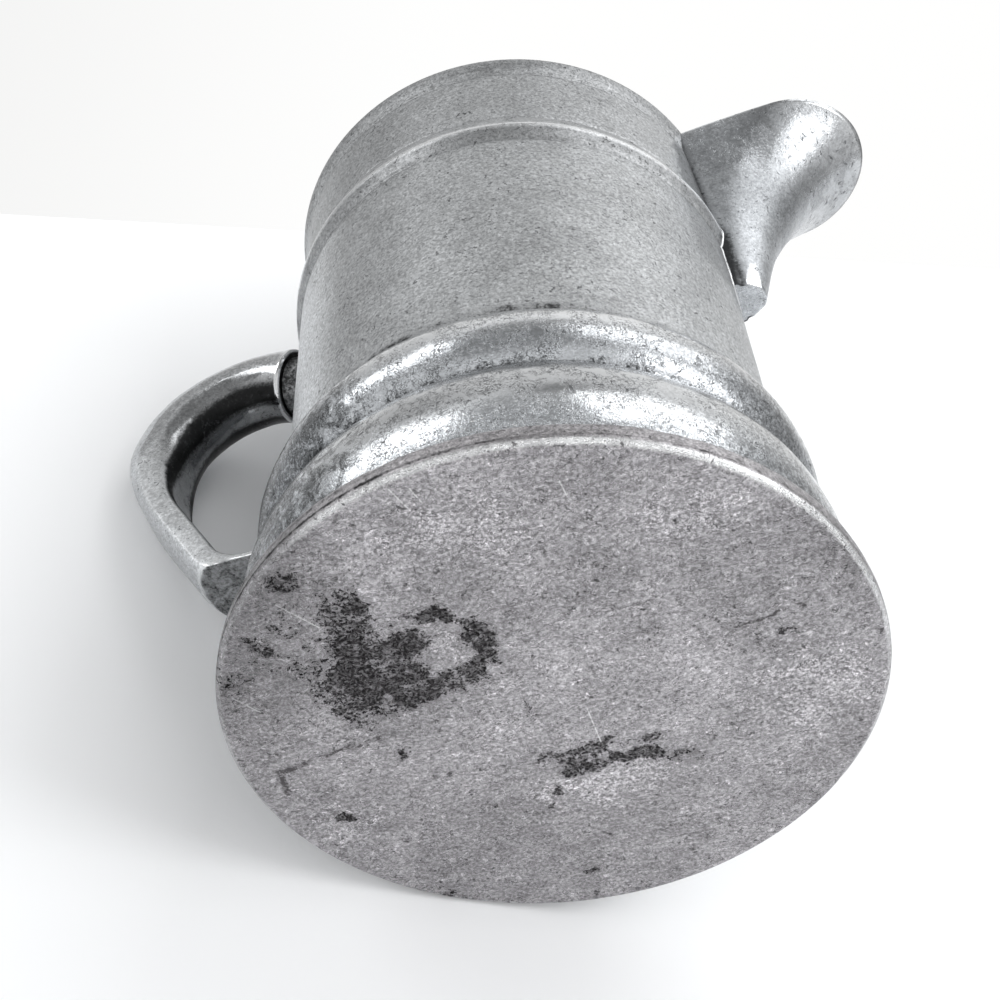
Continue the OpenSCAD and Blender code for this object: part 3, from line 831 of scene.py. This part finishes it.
def both(*shares):
    """Product of shares: high only where all of them are high."""
    product = shares[0]
    for share in shares[1:]:
        product = calc("MULTIPLY", product, share)
    return product


def band(value, low, full, still, high):
    """1 where a value lies from `full` to `still`, fading to 0 at `low` and at `high`."""
    return both(ramp(value, low, full), ramp(value, high, still))


def off_from(value, middle):
    """Distance of a value from a middle: |value - middle|."""
    return calc("ABSOLUTE", calc("SUBTRACT", value, middle))


def in_mm(place):
    """The three coordinates of a place, in millimetres."""
    return node("SeparateXYZ", {0: vector("SCALE", place, Scale=1 / MM)}).outputs


# %% Colour with nodes
def tint(share, under, over):
    """Colour `over` laid on colour `under` by a share."""
    made = node("Mix", data_type="RGBA")
    sockets = {socket.identifier: socket for socket in made.inputs}
    for name, value in (("Factor_Float", share), ("A_Color", under), ("B_Color", over)):
        plug(sockets[name], value)
    return next(socket for socket in made.outputs if socket.identifier == "Result_Color")


def grey(level, tone=(1.0, 1.0, 1.0)):
    """A grey as written, times a tone that leans it towards blue or violet."""
    return (level * tone[0], level * tone[1], level * tone[2], 1.0)


def times(metal, factor):
    """Multiplies the metal's colour by a number."""
    metal.colour = vector("SCALE", metal.colour, Scale=factor)


def toned(metal, share, level):
    """Multiplies the metal's colour by `level` where the share is 1, and by 1 where it is 0."""
    times(metal, ramp(share, 0.0, 1.0, 1.0, level))


def cover(metal, share, over):
    """Lays another colour on the metal's own by a share."""
    metal.colour = tint(share, metal.colour, over)


# %% [markdown]
# A stroke is a noise that is drawn out along one direction: the coordinates are turned, then
# divided by a length along the stroke and by a width across it, and only the peaks are kept.

# %% Strokes
def strokes(place, turn, length, width, cut, soft=0.05):
    """Short marks along one direction: stretched noise, kept above a threshold."""
    laid = node("Mapping", {"Vector": place, "Rotation": turn,
                            "Scale": (1 / length, 1 / width, 1 / width)}).outputs["Vector"]
    return ramp(noise(laid, 1.0, 1.0), cut, cut + soft)


# %% [markdown]
# The recipe collects what it draws in one record, the metal: the place, three grains, and the
# colour, roughness and relief that the shader gets. The marks of a single piece change that record
# before it goes into the shader.

# %% Pewter recipe
RUBBED_GREY = grey(0.86, (0.985, 1.0, 1.015))
DIRT_AND_SHADE_LEVEL = 0.030
BRIGHT_STROKES = (0.2, 0.5, 0.6), 0.0022, 0.00017, 0.66
DARK_STROKES = (0.9, -0.3, -0.5), 0.0016, 0.00020, 0.66


def pewter(name, pale, deep, tone, rough, polish, grain, specks, pit, fray=1.0, marks=None):
    """Pewter: two greys in clouds, times grain and curved dashes, then pits, strokes, polish, dirt and
    painted shade.
    `pale` and `deep` are the greys; `rough` and `polish` the roughness of dull and of rubbed metal;
    `grain` and `specks` how deep these patterns go; `pit` the relief in metres; `fray` how patchy the
    dirt is. `marks` adds what only one piece has."""
    material = bpy.data.materials.new(name)
    start_nodes(material)
    place = node("TexCoord").outputs["Object"]
    cloud = noise(place, 95.0, 4.0, 0.6, 0.6)
    mottle = noise(place, 430.0, 4.0, 0.8, 0.62)
    pebble = noise(place, 2300.0, 3.0, 0.5, 0.65)
    dash = noise(place, 1000.0, 2.0, 2.6, 0.5)
    speck = noise(place, 1300.0, 2.0, 1.3, 0.55)
    metal = SimpleNamespace(place=place, mottle=mottle, pebble=pebble, dash=dash)
    drift = calc("ADD", both(cloud, 0.6), both(mottle, 0.4))
    metal.colour = tint(ramp(drift, 0.38, 0.62), grey(deep, tone), grey(pale, tone))
    times(metal, ramp(pebble, 0.30, 0.70, 1 - grain, 1 + grain))
    times(metal, ramp(dash, 0.56, 0.68, 1.0, 1 - 0.6 * grain))
    times(metal, ramp(dash, 0.43, 0.32, 1.0, 1 + 0.6 * grain))
    pits = both(ramp(speck, 0.60, 0.67), ramp(mottle, 0.40, 0.60))
    toned(metal, pits, 1 - specks)
    toned(metal, strokes(place, *BRIGHT_STROKES), 1.26)
    toned(metal, strokes(place, *DARK_STROKES), 0.78)
    shine = both(layer("rubbed"), ramp(pits, 0.0, 0.6, 1.0, 0.15))
    cover(metal, both(shine, 0.80), RUBBED_GREY)
    patchy = calc("ADD", ramp(mottle, 0.25, 0.75, -0.25, 0.25), ramp(pebble, 0.25, 0.75, -0.35, 0.35))
    # dirt and painted shade from the second layer darken the metal towards a near-black grey
    dirt_and_shade = ramp(calc("ADD", layer("grime_and_shade"), both(patchy, fray)), 0.28 * fray, 1.0)
    cover(metal, both(dirt_and_shade, 0.95), grey(DIRT_AND_SHADE_LEVEL, tone))
    roughness = calc("ADD", ramp(mottle, 0.3, 0.7, rough - 0.07, rough + 0.07), both(pits, 0.15))
    roughness = calc("SUBTRACT", roughness, both(shine, rough - polish))
    metal.roughness = calc("ADD", roughness, both(dirt_and_shade, 0.2), True)
    relief = calc("SUBTRACT", pebble, both(pits, 0.7))
    relief = calc("ADD", relief, both(mottle, 0.8))
    relief = calc("SUBTRACT", relief, both(dash, 0.6))
    metal.relief = both(relief, ramp(shine, 0.0, 1.0, 1.0, 0.35))
    if marks is not None:
        marks(metal)
    bump = node("Bump", {"Strength": 1.0, "Distance": pit, "Height": metal.relief}).outputs["Normal"]
    shader = node("BsdfPrincipled", {"Base Color": metal.colour, "Roughness": metal.roughness,
                                     "Normal": bump, "Metallic": 1.0})
    node("OutputMaterial", {"Surface": shader.outputs[0]})
    print(name, "has", len(tree.nodes), "nodes")
    return material


# %% [markdown]
# ## Marks on the underside
# The underside has a life of its own: two dark stains, a few spots, a crack-like score, pale
# scuffed places and single scratches. A stain starts as a few ellipses, each worth 1 in its middle
# and 0 at its edge. Noise is added before the threshold, so the edge frays. A score is the distance
# from a straight line between two points, on coordinates that wobble a little.

# %% Marks by formula
def oval(place, x, y, half_x, half_y, turn=0.0):
    """1 in the middle of an ellipse, 0 on its edge and less outside; sizes in mm, the turn in degrees."""
    laid = node("Mapping", {"Vector": place, "Location": (x * MM, y * MM, 0),
                            "Rotation": (0, 0, np.radians(turn)),
                            "Scale": (half_x * MM, half_y * MM, 1)}, vector_type="TEXTURE")
    return calc("SUBTRACT", 1.0, vector("LENGTH", laid.outputs["Vector"], result="Value"))


def score(place, x0, y0, x1, y1, width):
    """1 on the straight line between two points in mm, fading over the width. The nearest point of the
    line is begin + s run, with s = (place - begin) . run / |run|^2 held between 0 and 1."""
    begin = Vector((x0 * MM, y0 * MM, 0))
    run = Vector((x1 * MM, y1 * MM, 0)) - begin
    from_begin = vector("SUBTRACT", place, begin)
    along = vector("DOT_PRODUCT", from_begin, run / run.length_squared, result="Value")
    held = node("Clamp", {"Value": along}).outputs[0]
    off = vector("DISTANCE", from_begin, vector("SCALE", run, Scale=held), result="Value")
    return ramp(off, width * MM, 0.35 * width * MM)


def highest(mark, place, rows):
    """The largest value that one kind of mark has at each place, over all rows of numbers."""
    top = None
    for row in rows:
        field = mark(place, *row)
        top = field if top is None else calc("MAXIMUM", top, field)
    return top


# %% Places of the underside marks
# ovals: middle x, y, half sizes, turn; scores: begin x, y, end x, y, width
STAIN_OVALS = [
    (-17.6, -20, 3.2, 5.2, 0), (-18, -16, 3.6, 5, 0), (-19.8, -10.6, 5, 6.2, 10),
    (-14.2, -14.4, 4.4, 3.2, 0), (-15.2, -9.4, 4.4, 3.8, 0), (-7.2, -9, 3.4, 1.3, -22),
    (-12.4, -7.2, 7.4, 2.2, -14), (-4.9, -12.8, 1.7, 4.6, -8), (-8.6, -17.8, 3, 1, 25),
    (1, 8.8, 5.6, 1.2, 0), (8.6, 9, 2, 1, 0), (0.4, 11.2, 3.6, 1.7, 0), (6.6, 11.5, 5.4, 1.3, 8),
    (-3.7, 15.2, 0.9, 0.8, 0), (-5.3, 17.3, 0.6, 0.6, 0), (-22, -27.2, 2.4, 1.2, 0),
    (-27.3, -18.9, 1.2, 0.9, 0), (-3.2, -0.9, 0.35, 1.1, 0), (-18.5, 2, 0.9, 0.6, -30),
    (-29, 10.9, 0.8, 0.8, 0), (-22, 29, 1, 0.8, 0), (-4, 31.2, 0.9, 0.5, 0),
    (27, -3.2, 0.5, 0.5, 0)]
FAINT_OVALS = [
    (-25.5, -19, 4.5, 3.6, 0), (-33, -16, 2.4, 2, 0), (10.5, 12.6, 3.4, 1.6, 30)]
PALE_OVALS = [
    (29, 7, 7.5, 7.5, 0), (3, 14.2, 11, 5, 0), (-29.5, 12, 5, 4, 0), (20.5, -23, 7, 3.6, 0),
    (-2, -28, 8, 4.5, 10), (-9.4, -13, 3.4, 3, 0)]
DARK_SCORES = [
    (-19, -1.2, -26, -0.9, 0.45), (-26, -0.9, -33.3, 0.4, 0.45), (-33.3, 0.4, -33.8, 4.6, 0.55),
    (20.5, -5.7, 27, -6, 0.36), (27, -6, 30.6, -6.6, 0.4)]
BRIGHT_SCORES = [
    (-7.4, -36, -6.4, -33, 0.11), (3.2, 2, 3.3, 7.8, 0.1), (-23.8, -24.8, -20.7, -20.2, 0.11),
    (-33.6, -13, -31.6, -9.9, 0.1), (-5.4, -35.4, -4.8, -33.2, 0.1), (9, -31.5, 9.2, -29.5, 0.1)]
# turn, threshold and level of four sets of fine hairlines
HAIRLINES = [(0.25, 0.635, 1.42), (-0.55, 0.640, 1.40), (1.1, 0.640, 0.60), (-1.2, 0.640, 0.60)]
# broad places of painted light and shade: middle x, y, half sizes; how far in they are full; level
PAINTED_LIGHT_AND_SHADE_PLACES = [((6, 4, 30, 22), 0.8, 1.16), ((-26, -30, 13, 10), 0.5, 0.74),
               ((-37, -22, 19, 21), 0.6, 0.66), ((30, -11, 17, 15), 0.6, 0.86)]
STAIN_BLACK, SCORE_DARK = (0.013, 0.011, 0.012, 1), (0.07, 0.065, 0.068, 1)
print(len(STAIN_OVALS), "ovals of stain,", len(DARK_SCORES) + len(BRIGHT_SCORES), "scores")


# %% Underside marks
def underside_marks(metal):
    """Stains, pale scuffs and scores laid over the plain pewter of the base disc, and broad painted light
    and shade.
    """
    place, mottle, pebble, dash = metal.place, metal.mottle, metal.pebble, metal.dash
    shaky = node("TexNoise", {"Vector": place, "Scale": 330.0, "Detail": 4.0, "Roughness": 0.65})
    shift = vector("SUBTRACT", shaky.outputs["Color"], (0.5, 0.5, 0.5))
    frayed = vector("MULTIPLY_ADD", shift, (0.0050, 0.0050, 0.0), place)
    wobbly = vector("MULTIPLY_ADD", shift, (0.0030, 0.0030, 0.0), place)
    torn = calc("ADD", ramp(mottle, 0.30, 0.70, -0.40, 0.40), ramp(pebble, 0.32, 0.68, -0.45, 0.45))
    inside = calc("ADD", both(highest(oval, frayed, STAIN_OVALS), 1.35), 0.10)
    faint = calc("MINIMUM", highest(oval, frayed, FAINT_OVALS), 0.08)
    inside = calc("MAXIMUM", calc("MINIMUM", inside, 0.74), faint)
    stain = ramp(calc("ADD", inside, torn), 0.16, 0.58)
    pale = ramp(calc("ADD", highest(oval, frayed, PALE_OVALS), torn), 0.05, 0.9)
    toned(metal, pale, 1.35)
    toned(metal, both(pale, ramp(dash, 0.54, 0.62)), 0.62)
    flakes = noise(frayed, 1500.0, 3.0, 1.0, 0.6)
    cracks = both(ramp(off_from(flakes, 0.5), 0.040, 0.010), ramp(mottle, 0.40, 0.56))
    toned(metal, cracks, 0.66)
    times(metal, ramp(flakes, 0.57, 0.66, 1.0, 1.30))
    metal.relief = calc("SUBTRACT", metal.relief, both(cracks, 0.5))
    for turn, threshold, level in HAIRLINES:
        toned(metal, strokes(frayed, (0, 0, turn), 0.0019, 0.00014, threshold, 0.03), level)
    threads = both(ramp(dash, 0.36, 0.56, 0.66, 1.0), ramp(pebble, 0.32, 0.60, 0.70, 1.0))
    cover(metal, both(stain, threads), STAIN_BLACK)
    dark = highest(score, vector("MULTIPLY", wobbly, (1, 1, 0)), DARK_SCORES)
    cover(metal, both(dark, ramp(calc("ADD", mottle, pebble), 0.94, 1.08, 0.0, 0.9)), SCORE_DARK)
    bright = highest(score, vector("MULTIPLY", place, (1, 1, 0)), BRIGHT_SCORES)
    cover(metal, both(bright, ramp(pebble, 0.35, 0.55, 0.2, 0.8)), grey(0.70))
    # painted light and shade: broad places of the base made lighter or darker
    for where, full, level in PAINTED_LIGHT_AND_SHADE_PLACES:
        times(metal, ramp(oval(place, *where), 0.0, full, 1.0, level))
    metal.roughness = calc("ADD", metal.roughness, both(stain, 0.12), True)


# %% [markdown]
# The drum gets a painted reflection of the spout: it is darker in a narrow field on both sides of
# the spout, between the bead and the rim. It gets a painted shadow below the spout, and is darker
# in smaller ways elsewhere: on the handle's side of the front, under the ridge of the bead, on the
# rim band. Far left below the bead it is painted lighter, a painted reflection of light. The swells
# of the foot were cast in sand, and the polishing never reached the bottom of the crackle: thin
# dark lines where a noise crosses its middle value. All these places are bands of x, y and z, in
# millimetres.

# %% Marks on the drum
def drum_marks(metal):
    """A painted reflection of the spout: a dark field, |y| below 14 mm with a frayed edge, x ahead,
    between bead and rim. Painted shadow below the spout and painted light far left under the bead;
    darker on the handle's side of the front and under the bead's ridge."""
    x, y, z = in_mm(metal.place)
    wide = calc("ABSOLUTE", y)
    ahead = ramp(x, 0.0, 4.0)
    frayed = calc("ADD", wide, ramp(metal.mottle, 0.25, 0.75, -0.8, 0.8))
    # painted reflection: a dark field where the drum would mirror the spout's dark flank
    spout_reflection_field = both(ramp(frayed, 15.2, 12.8), ahead, band(z, 78.8, 80.6, 90.4, 94.0))
    # darker on the handle's side of the front
    handle_side_darker = both(band(x, -25, -15, -13, -2), ramp(y, 6, -6))
    # painted light: the far left of the drum below the bead is made lighter, where it would reflect the
    # bright cloth
    painted_light_left = both(ramp(x, -14, -24), ramp(z, 73.2, 72.0), ramp(y, 4, -12))
    under_ridge = band(z, 73.3, 73.7, 75.4, 75.9)
    # painted shadow of the spout on the drum beside its tail, below the bead
    painted_shadow_below_spout = both(ramp(wide, 16.5, 13.5), band(z, 56, 62, 73.2, 74.2), ahead)
    for share, level in ((spout_reflection_field, 0.40), (handle_side_darker, 0.78), (painted_light_left, 1.24), (under_ridge, 0.76),
                         (painted_shadow_below_spout, 0.76)):
        toned(metal, share, level)
    times(metal, ramp(z, 94.2, 94.6, 1.0, 0.84))
    times(metal, ramp(z, 78, 84, 1.0, 0.90))


# %% Marks on the foot
def foot_marks(metal):
    """Crackle: 1 where a bent noise is within a small distance of one half. Tarnish grows with the angle
    away from the polished front, on the handle's side most. At the front the lower swell gets painted
    reflections: painted shade above and a painted highlight below, and the upper swell gets painted
    shade at its top."""
    bent = noise(metal.place, 1500.0, 3.0, 1.6, 0.6)
    crackle = both(ramp(off_from(bent, 0.5), 0.052, 0.016), ramp(metal.mottle, 0.36, 0.56))
    x, y, z = in_mm(metal.place)
    turn = calc("ABSOLUTE", calc("ARCTAN2", y, x))
    turn = calc("ADD", turn, ramp(metal.mottle, 0.25, 0.75, -0.22, 0.22))
    tarnish = calc("MAXIMUM", ramp(turn, 1.78, 2.24), ramp(turn, 1.00, 0.52, 0.0, 0.68))
    tarnish = both(tarnish, ramp(y, 8, -8, 0.30, 1.0),
                   ramp(calc("ADD", metal.pebble, bent), 0.80, 1.20, 1.0, 0.55))
    front = both(ramp(off_from(x, 5), 24, 6), ramp(y, -14, -24))
    # painted reflections at the front: shade on the upper parts of both swells, light at the foot of the
    # lower swell
    lower_top_painted_shade, lower_foot_painted_light = both(band(z, 9, 12.5, 19.4, 20.6), front), both(ramp(z, 12, 9), front)
    upper_top_painted_shade = both(ramp(z, 25.4, 28), front)
    for share, level in ((crackle, 0.30), (tarnish, 0.22), (lower_top_painted_shade, 0.68), (lower_foot_painted_light, 1.34),
                         (upper_top_painted_shade, 0.80)):
        toned(metal, share, level)
    metal.roughness = calc("ADD", metal.roughness, both(crackle, 0.12), True)
    metal.relief = calc("SUBTRACT", metal.relief, both(crackle, 0.5))


# %% Marks on handle and spout
def arm_marks(metal):
    """Polish of the upper arm, where fingers hold it: smoother and deeper in tone above the bend. Where
    the dirt and painted shade are thickest, on the inside of the bend, it is nearly black, a painted
    dark reflection."""
    arm = ramp(in_mm(metal.place)[2], 55, 68)
    # painted dark reflection: nearly black where dirt and painted shade are thickest
    times(metal, ramp(layer("grime_and_shade"), 0.80, 1.0, 1.0, 0.42))
    toned(metal, arm, 0.80)
    metal.roughness = calc("SUBTRACT", metal.roughness, both(arm, 0.27), True)
    metal.relief = both(metal.relief, ramp(arm, 0.0, 1.0, 1.0, 0.4))


def pouring_marks(metal):
    """The spout is polished by wiping near its lip, satin further down and smeared towards its tip.
    Beside the drum (x below 44 mm) it is painted paler, a painted reflection of light on the flank."""
    x, _, z = in_mm(metal.place)
    satin = band(z, 66, 69, 82, 92)
    # painted light: the flank beside the drum is made paler
    times(metal, ramp(x, 33, 44, 1.60, 1.0))
    toned(metal, satin, 0.80)
    toned(metal, both(ramp(metal.mottle, 0.42, 0.62), ramp(x, 42, 48)), 0.72)
    metal.roughness = calc("ADD", metal.roughness, both(satin, 0.20), True)


# %% [markdown]
# The recipe's numbers, one row for each finish: name, pale and deep grey, tone, roughness when dull
# and when rubbed, depth of grain and specks, relief in metres, patchiness of the dirt and the marks
# of that piece.

# %% Finishes
COOL, STEEL, VIOLET = (0.975, 0.998, 1.022), (0.962, 1.0, 1.045), (1.012, 0.985, 1.02)
drum_satin = pewter("drum_satin_pewter", 0.485, 0.405, COOL, 0.46, 0.22, 0.34, 0.60, 0.000022,
                    1.0, drum_marks)
foot_polish = pewter("foot_polished_pewter", 0.60, 0.48, STEEL, 0.17, 0.14, 0.15, 0.60, 0.000024,
                     1.0, foot_marks)
base_scuffed = pewter("base_scuffed_pewter", 0.405, 0.29, VIOLET, 0.46, 0.20, 0.36, 0.58, 0.000022,
                      1.0, underside_marks)
spout_pewter = pewter("spout_handled_pewter", 0.39, 0.305, STEEL, 0.22, 0.17, 0.22, 0.52, 0.000026,
                      0.6, pouring_marks)
handle_pewter = pewter("handle_cast_pewter", 0.55, 0.44, COOL, 0.42, 0.15, 0.24, 0.50, 0.000020,
                       0.6, arm_marks)
solder_grey = pewter("solder_dull_grey", 0.50, 0.36, COOL, 0.42, 0.24, 0.25, 0.50, 0.000030, 0.8)

# %% Dress the pieces
adopt(drum, "drum", drum_satin)
adopt(foot, "foot_ring", foot_polish)
adopt(disc, "base_plate", base_scuffed)
adopt(spout, "spout", spout_pewter)
adopt(handle, "handle", handle_pewter)
adopt(neck, "handle_neck", solder_grey)
adopt(foot_solder, "foot_solder", solder_grey)
adopt(floor_solder, "floor_solder", solder_grey)
adopt(spout_solder, "spout_solder", solder_grey)
adopt(heel_solder, "heel_solder", solder_grey)

# %% [markdown]
# ## Cloth, floor and light
# The jug rests on a white cloth at three points: the flange, the rim and the bend of the handle.
# The plane through them is the cloth. Seen from behind it is see-through, so the other views of
# the upright jug stay clear. A second pale floor lies under the upright jug and shows only to a
# camera above it.

# %% Cloth
CLOTH_UP, CLOTH_LEVEL = unit(np.array([0.5252, -0.8490, -0.0575])), -38.1
look_ahead = -np.array(CAMERA_BACK)
CLOTH_AHEAD = unit(look_ahead - (look_ahead @ CLOTH_UP) * CLOTH_UP)
CLOTH_RIGHT = np.cross(CLOTH_AHEAD, CLOTH_UP)
CLOTH_CORNERS = [(-900, -900), (900, -900), (900, 690), (-900, -362)]
FLOOR_CORNERS = [(-1500, -1500), (1500, -1500), (1500, 1500), (-1500, 1500)]
CLOTH_WHITE, FLOOR_PALE = (0.955, 0.965, 0.98, 1), (0.88, 0.88, 0.88, 1)


def stage_sheet(name, origin, across, along, corners, colour, camera_only=False):
    """A flat sheet of the stage, see-through from behind, in one plain colour with a faint weave."""
    mesh = bpy.data.meshes.new(name)
    points = [(np.array(origin) + across * x + along * y) * MM for x, y in corners]
    mesh.from_pydata([tuple(p) for p in points], [], [(0, 1, 2, 3)])
    sheet = bpy.data.objects.new(name, mesh)
    scene.collection.objects.link(sheet)
    material = bpy.data.materials.new(name)
    start_nodes(material)
    weave = noise(node("TexCoord").outputs["Object"], 900.0, 2.0)
    bump = node("Bump", {"Strength": 0.5, "Distance": 0.00004, "Height": weave}).outputs["Normal"]
    matt = node("BsdfDiffuse", {"Color": colour, "Normal": bump}).outputs[0]
    clear = node("BsdfTransparent").outputs[0]
    shown = calc("SUBTRACT", 1.0, node("NewGeometry").outputs["Backfacing"])
    if camera_only:
        shown = both(shown, node("LightPath").outputs["Is Camera Ray"])
    mixed = node("MixShader", {0: shown, 1: clear, 2: matt})
    node("OutputMaterial", {"Surface": mixed.outputs[0]})
    sheet.data.materials.append(material)
    print("laid", name)


stage_sheet("white_cloth", CLOTH_UP * CLOTH_LEVEL, CLOTH_RIGHT, CLOTH_AHEAD, CLOTH_CORNERS, CLOTH_WHITE)
stage_sheet("pale_floor", (0, 0, -0.3), np.array([1.0, 0, 0]), np.array([0, 1.0, 0]), FLOOR_CORNERS,
            FLOOR_PALE, True)

# %% [markdown]
# Three soft boxes light the jug as a window, a pale wall behind it and a lamp at the left would.
# Each is an area lamp 1.6 m away that looks at the middle of the jug.

# %% Light
LAMP_DISTANCE, JUG_MIDDLE = 1.60, Vector((0, 0, 0.045))


def soft_box(name, azimuth, elevation, width, height, power):
    """An area lamp on the cloth's sky: azimuth 0 is ahead of the camera, positive to the right."""
    az, el = np.radians(azimuth), np.radians(elevation)
    level = np.sin(az) * CLOTH_RIGHT + np.cos(az) * CLOTH_AHEAD
    direction = Vector(np.cos(el) * level + np.sin(el) * CLOTH_UP)
    lamp = bpy.data.lights.new(name, "AREA")
    lamp.shape, lamp.size, lamp.size_y, lamp.energy = "RECTANGLE", width, height, power
    box = bpy.data.objects.new(name, lamp)
    box.location = direction * LAMP_DISTANCE + JUG_MIDDLE
    box.rotation_mode = "QUATERNION"
    box.rotation_quaternion = direction.to_track_quat("Z", "Y")
    scene.collection.objects.link(box)
    print(name, "at", tuple(round(c, 2) for c in box.location))


soft_box("window_light", 87, 51, 0.96, 0.72, 6.8)
soft_box("far_light", 20, 53, 1.30, 0.90, 6.9)
soft_box("left_side_light", -79, 22, 1.00, 0.54, 4.8)

# %% [markdown]
# The room itself is one more light: a white surround that grows dim towards the ceiling, and a
# little low on the right and on the left. Camera and metal see the same room, so the reflections
# agree with the background.

# %% Room
world = bpy.data.worlds.new("white_room")
scene.world = world
start_nodes(world)
look = node("TexCoord").outputs["Generated"]


def towards(right, ahead, up):
    """How far a look goes along a direction of the cloth's frame: 1 straight at it, 0 across it."""
    direction = Vector(right * CLOTH_RIGHT + ahead * CLOTH_AHEAD + up * CLOTH_UP).normalized()
    return vector("DOT_PRODUCT", look, direction, result="Value")


overhead = both(ramp(towards(-0.48, 0.47, 0.74), 0.40, 0.94), ramp(towards(0, 0, 1), 0.42, 0.68))
level = both(ramp(overhead, 0.0, 1.0, 1.0, 0.40),
             ramp(towards(0.85, 0.53, 0.08), 0.86, 0.97, 1.0, 0.55),
             ramp(towards(-0.87, 0.49, -0.05), 0.80, 0.95, 1.0, 0.72),
             ramp(towards(1, 0, 0), -0.45, -0.10, 0.90, 1.0))
room = node("Background", {"Color": (1.0, 1.0, 0.995, 1), "Strength": level})
node("OutputWorld", {"Surface": room.outputs[0]})
print("the room has", len(tree.nodes), "nodes")
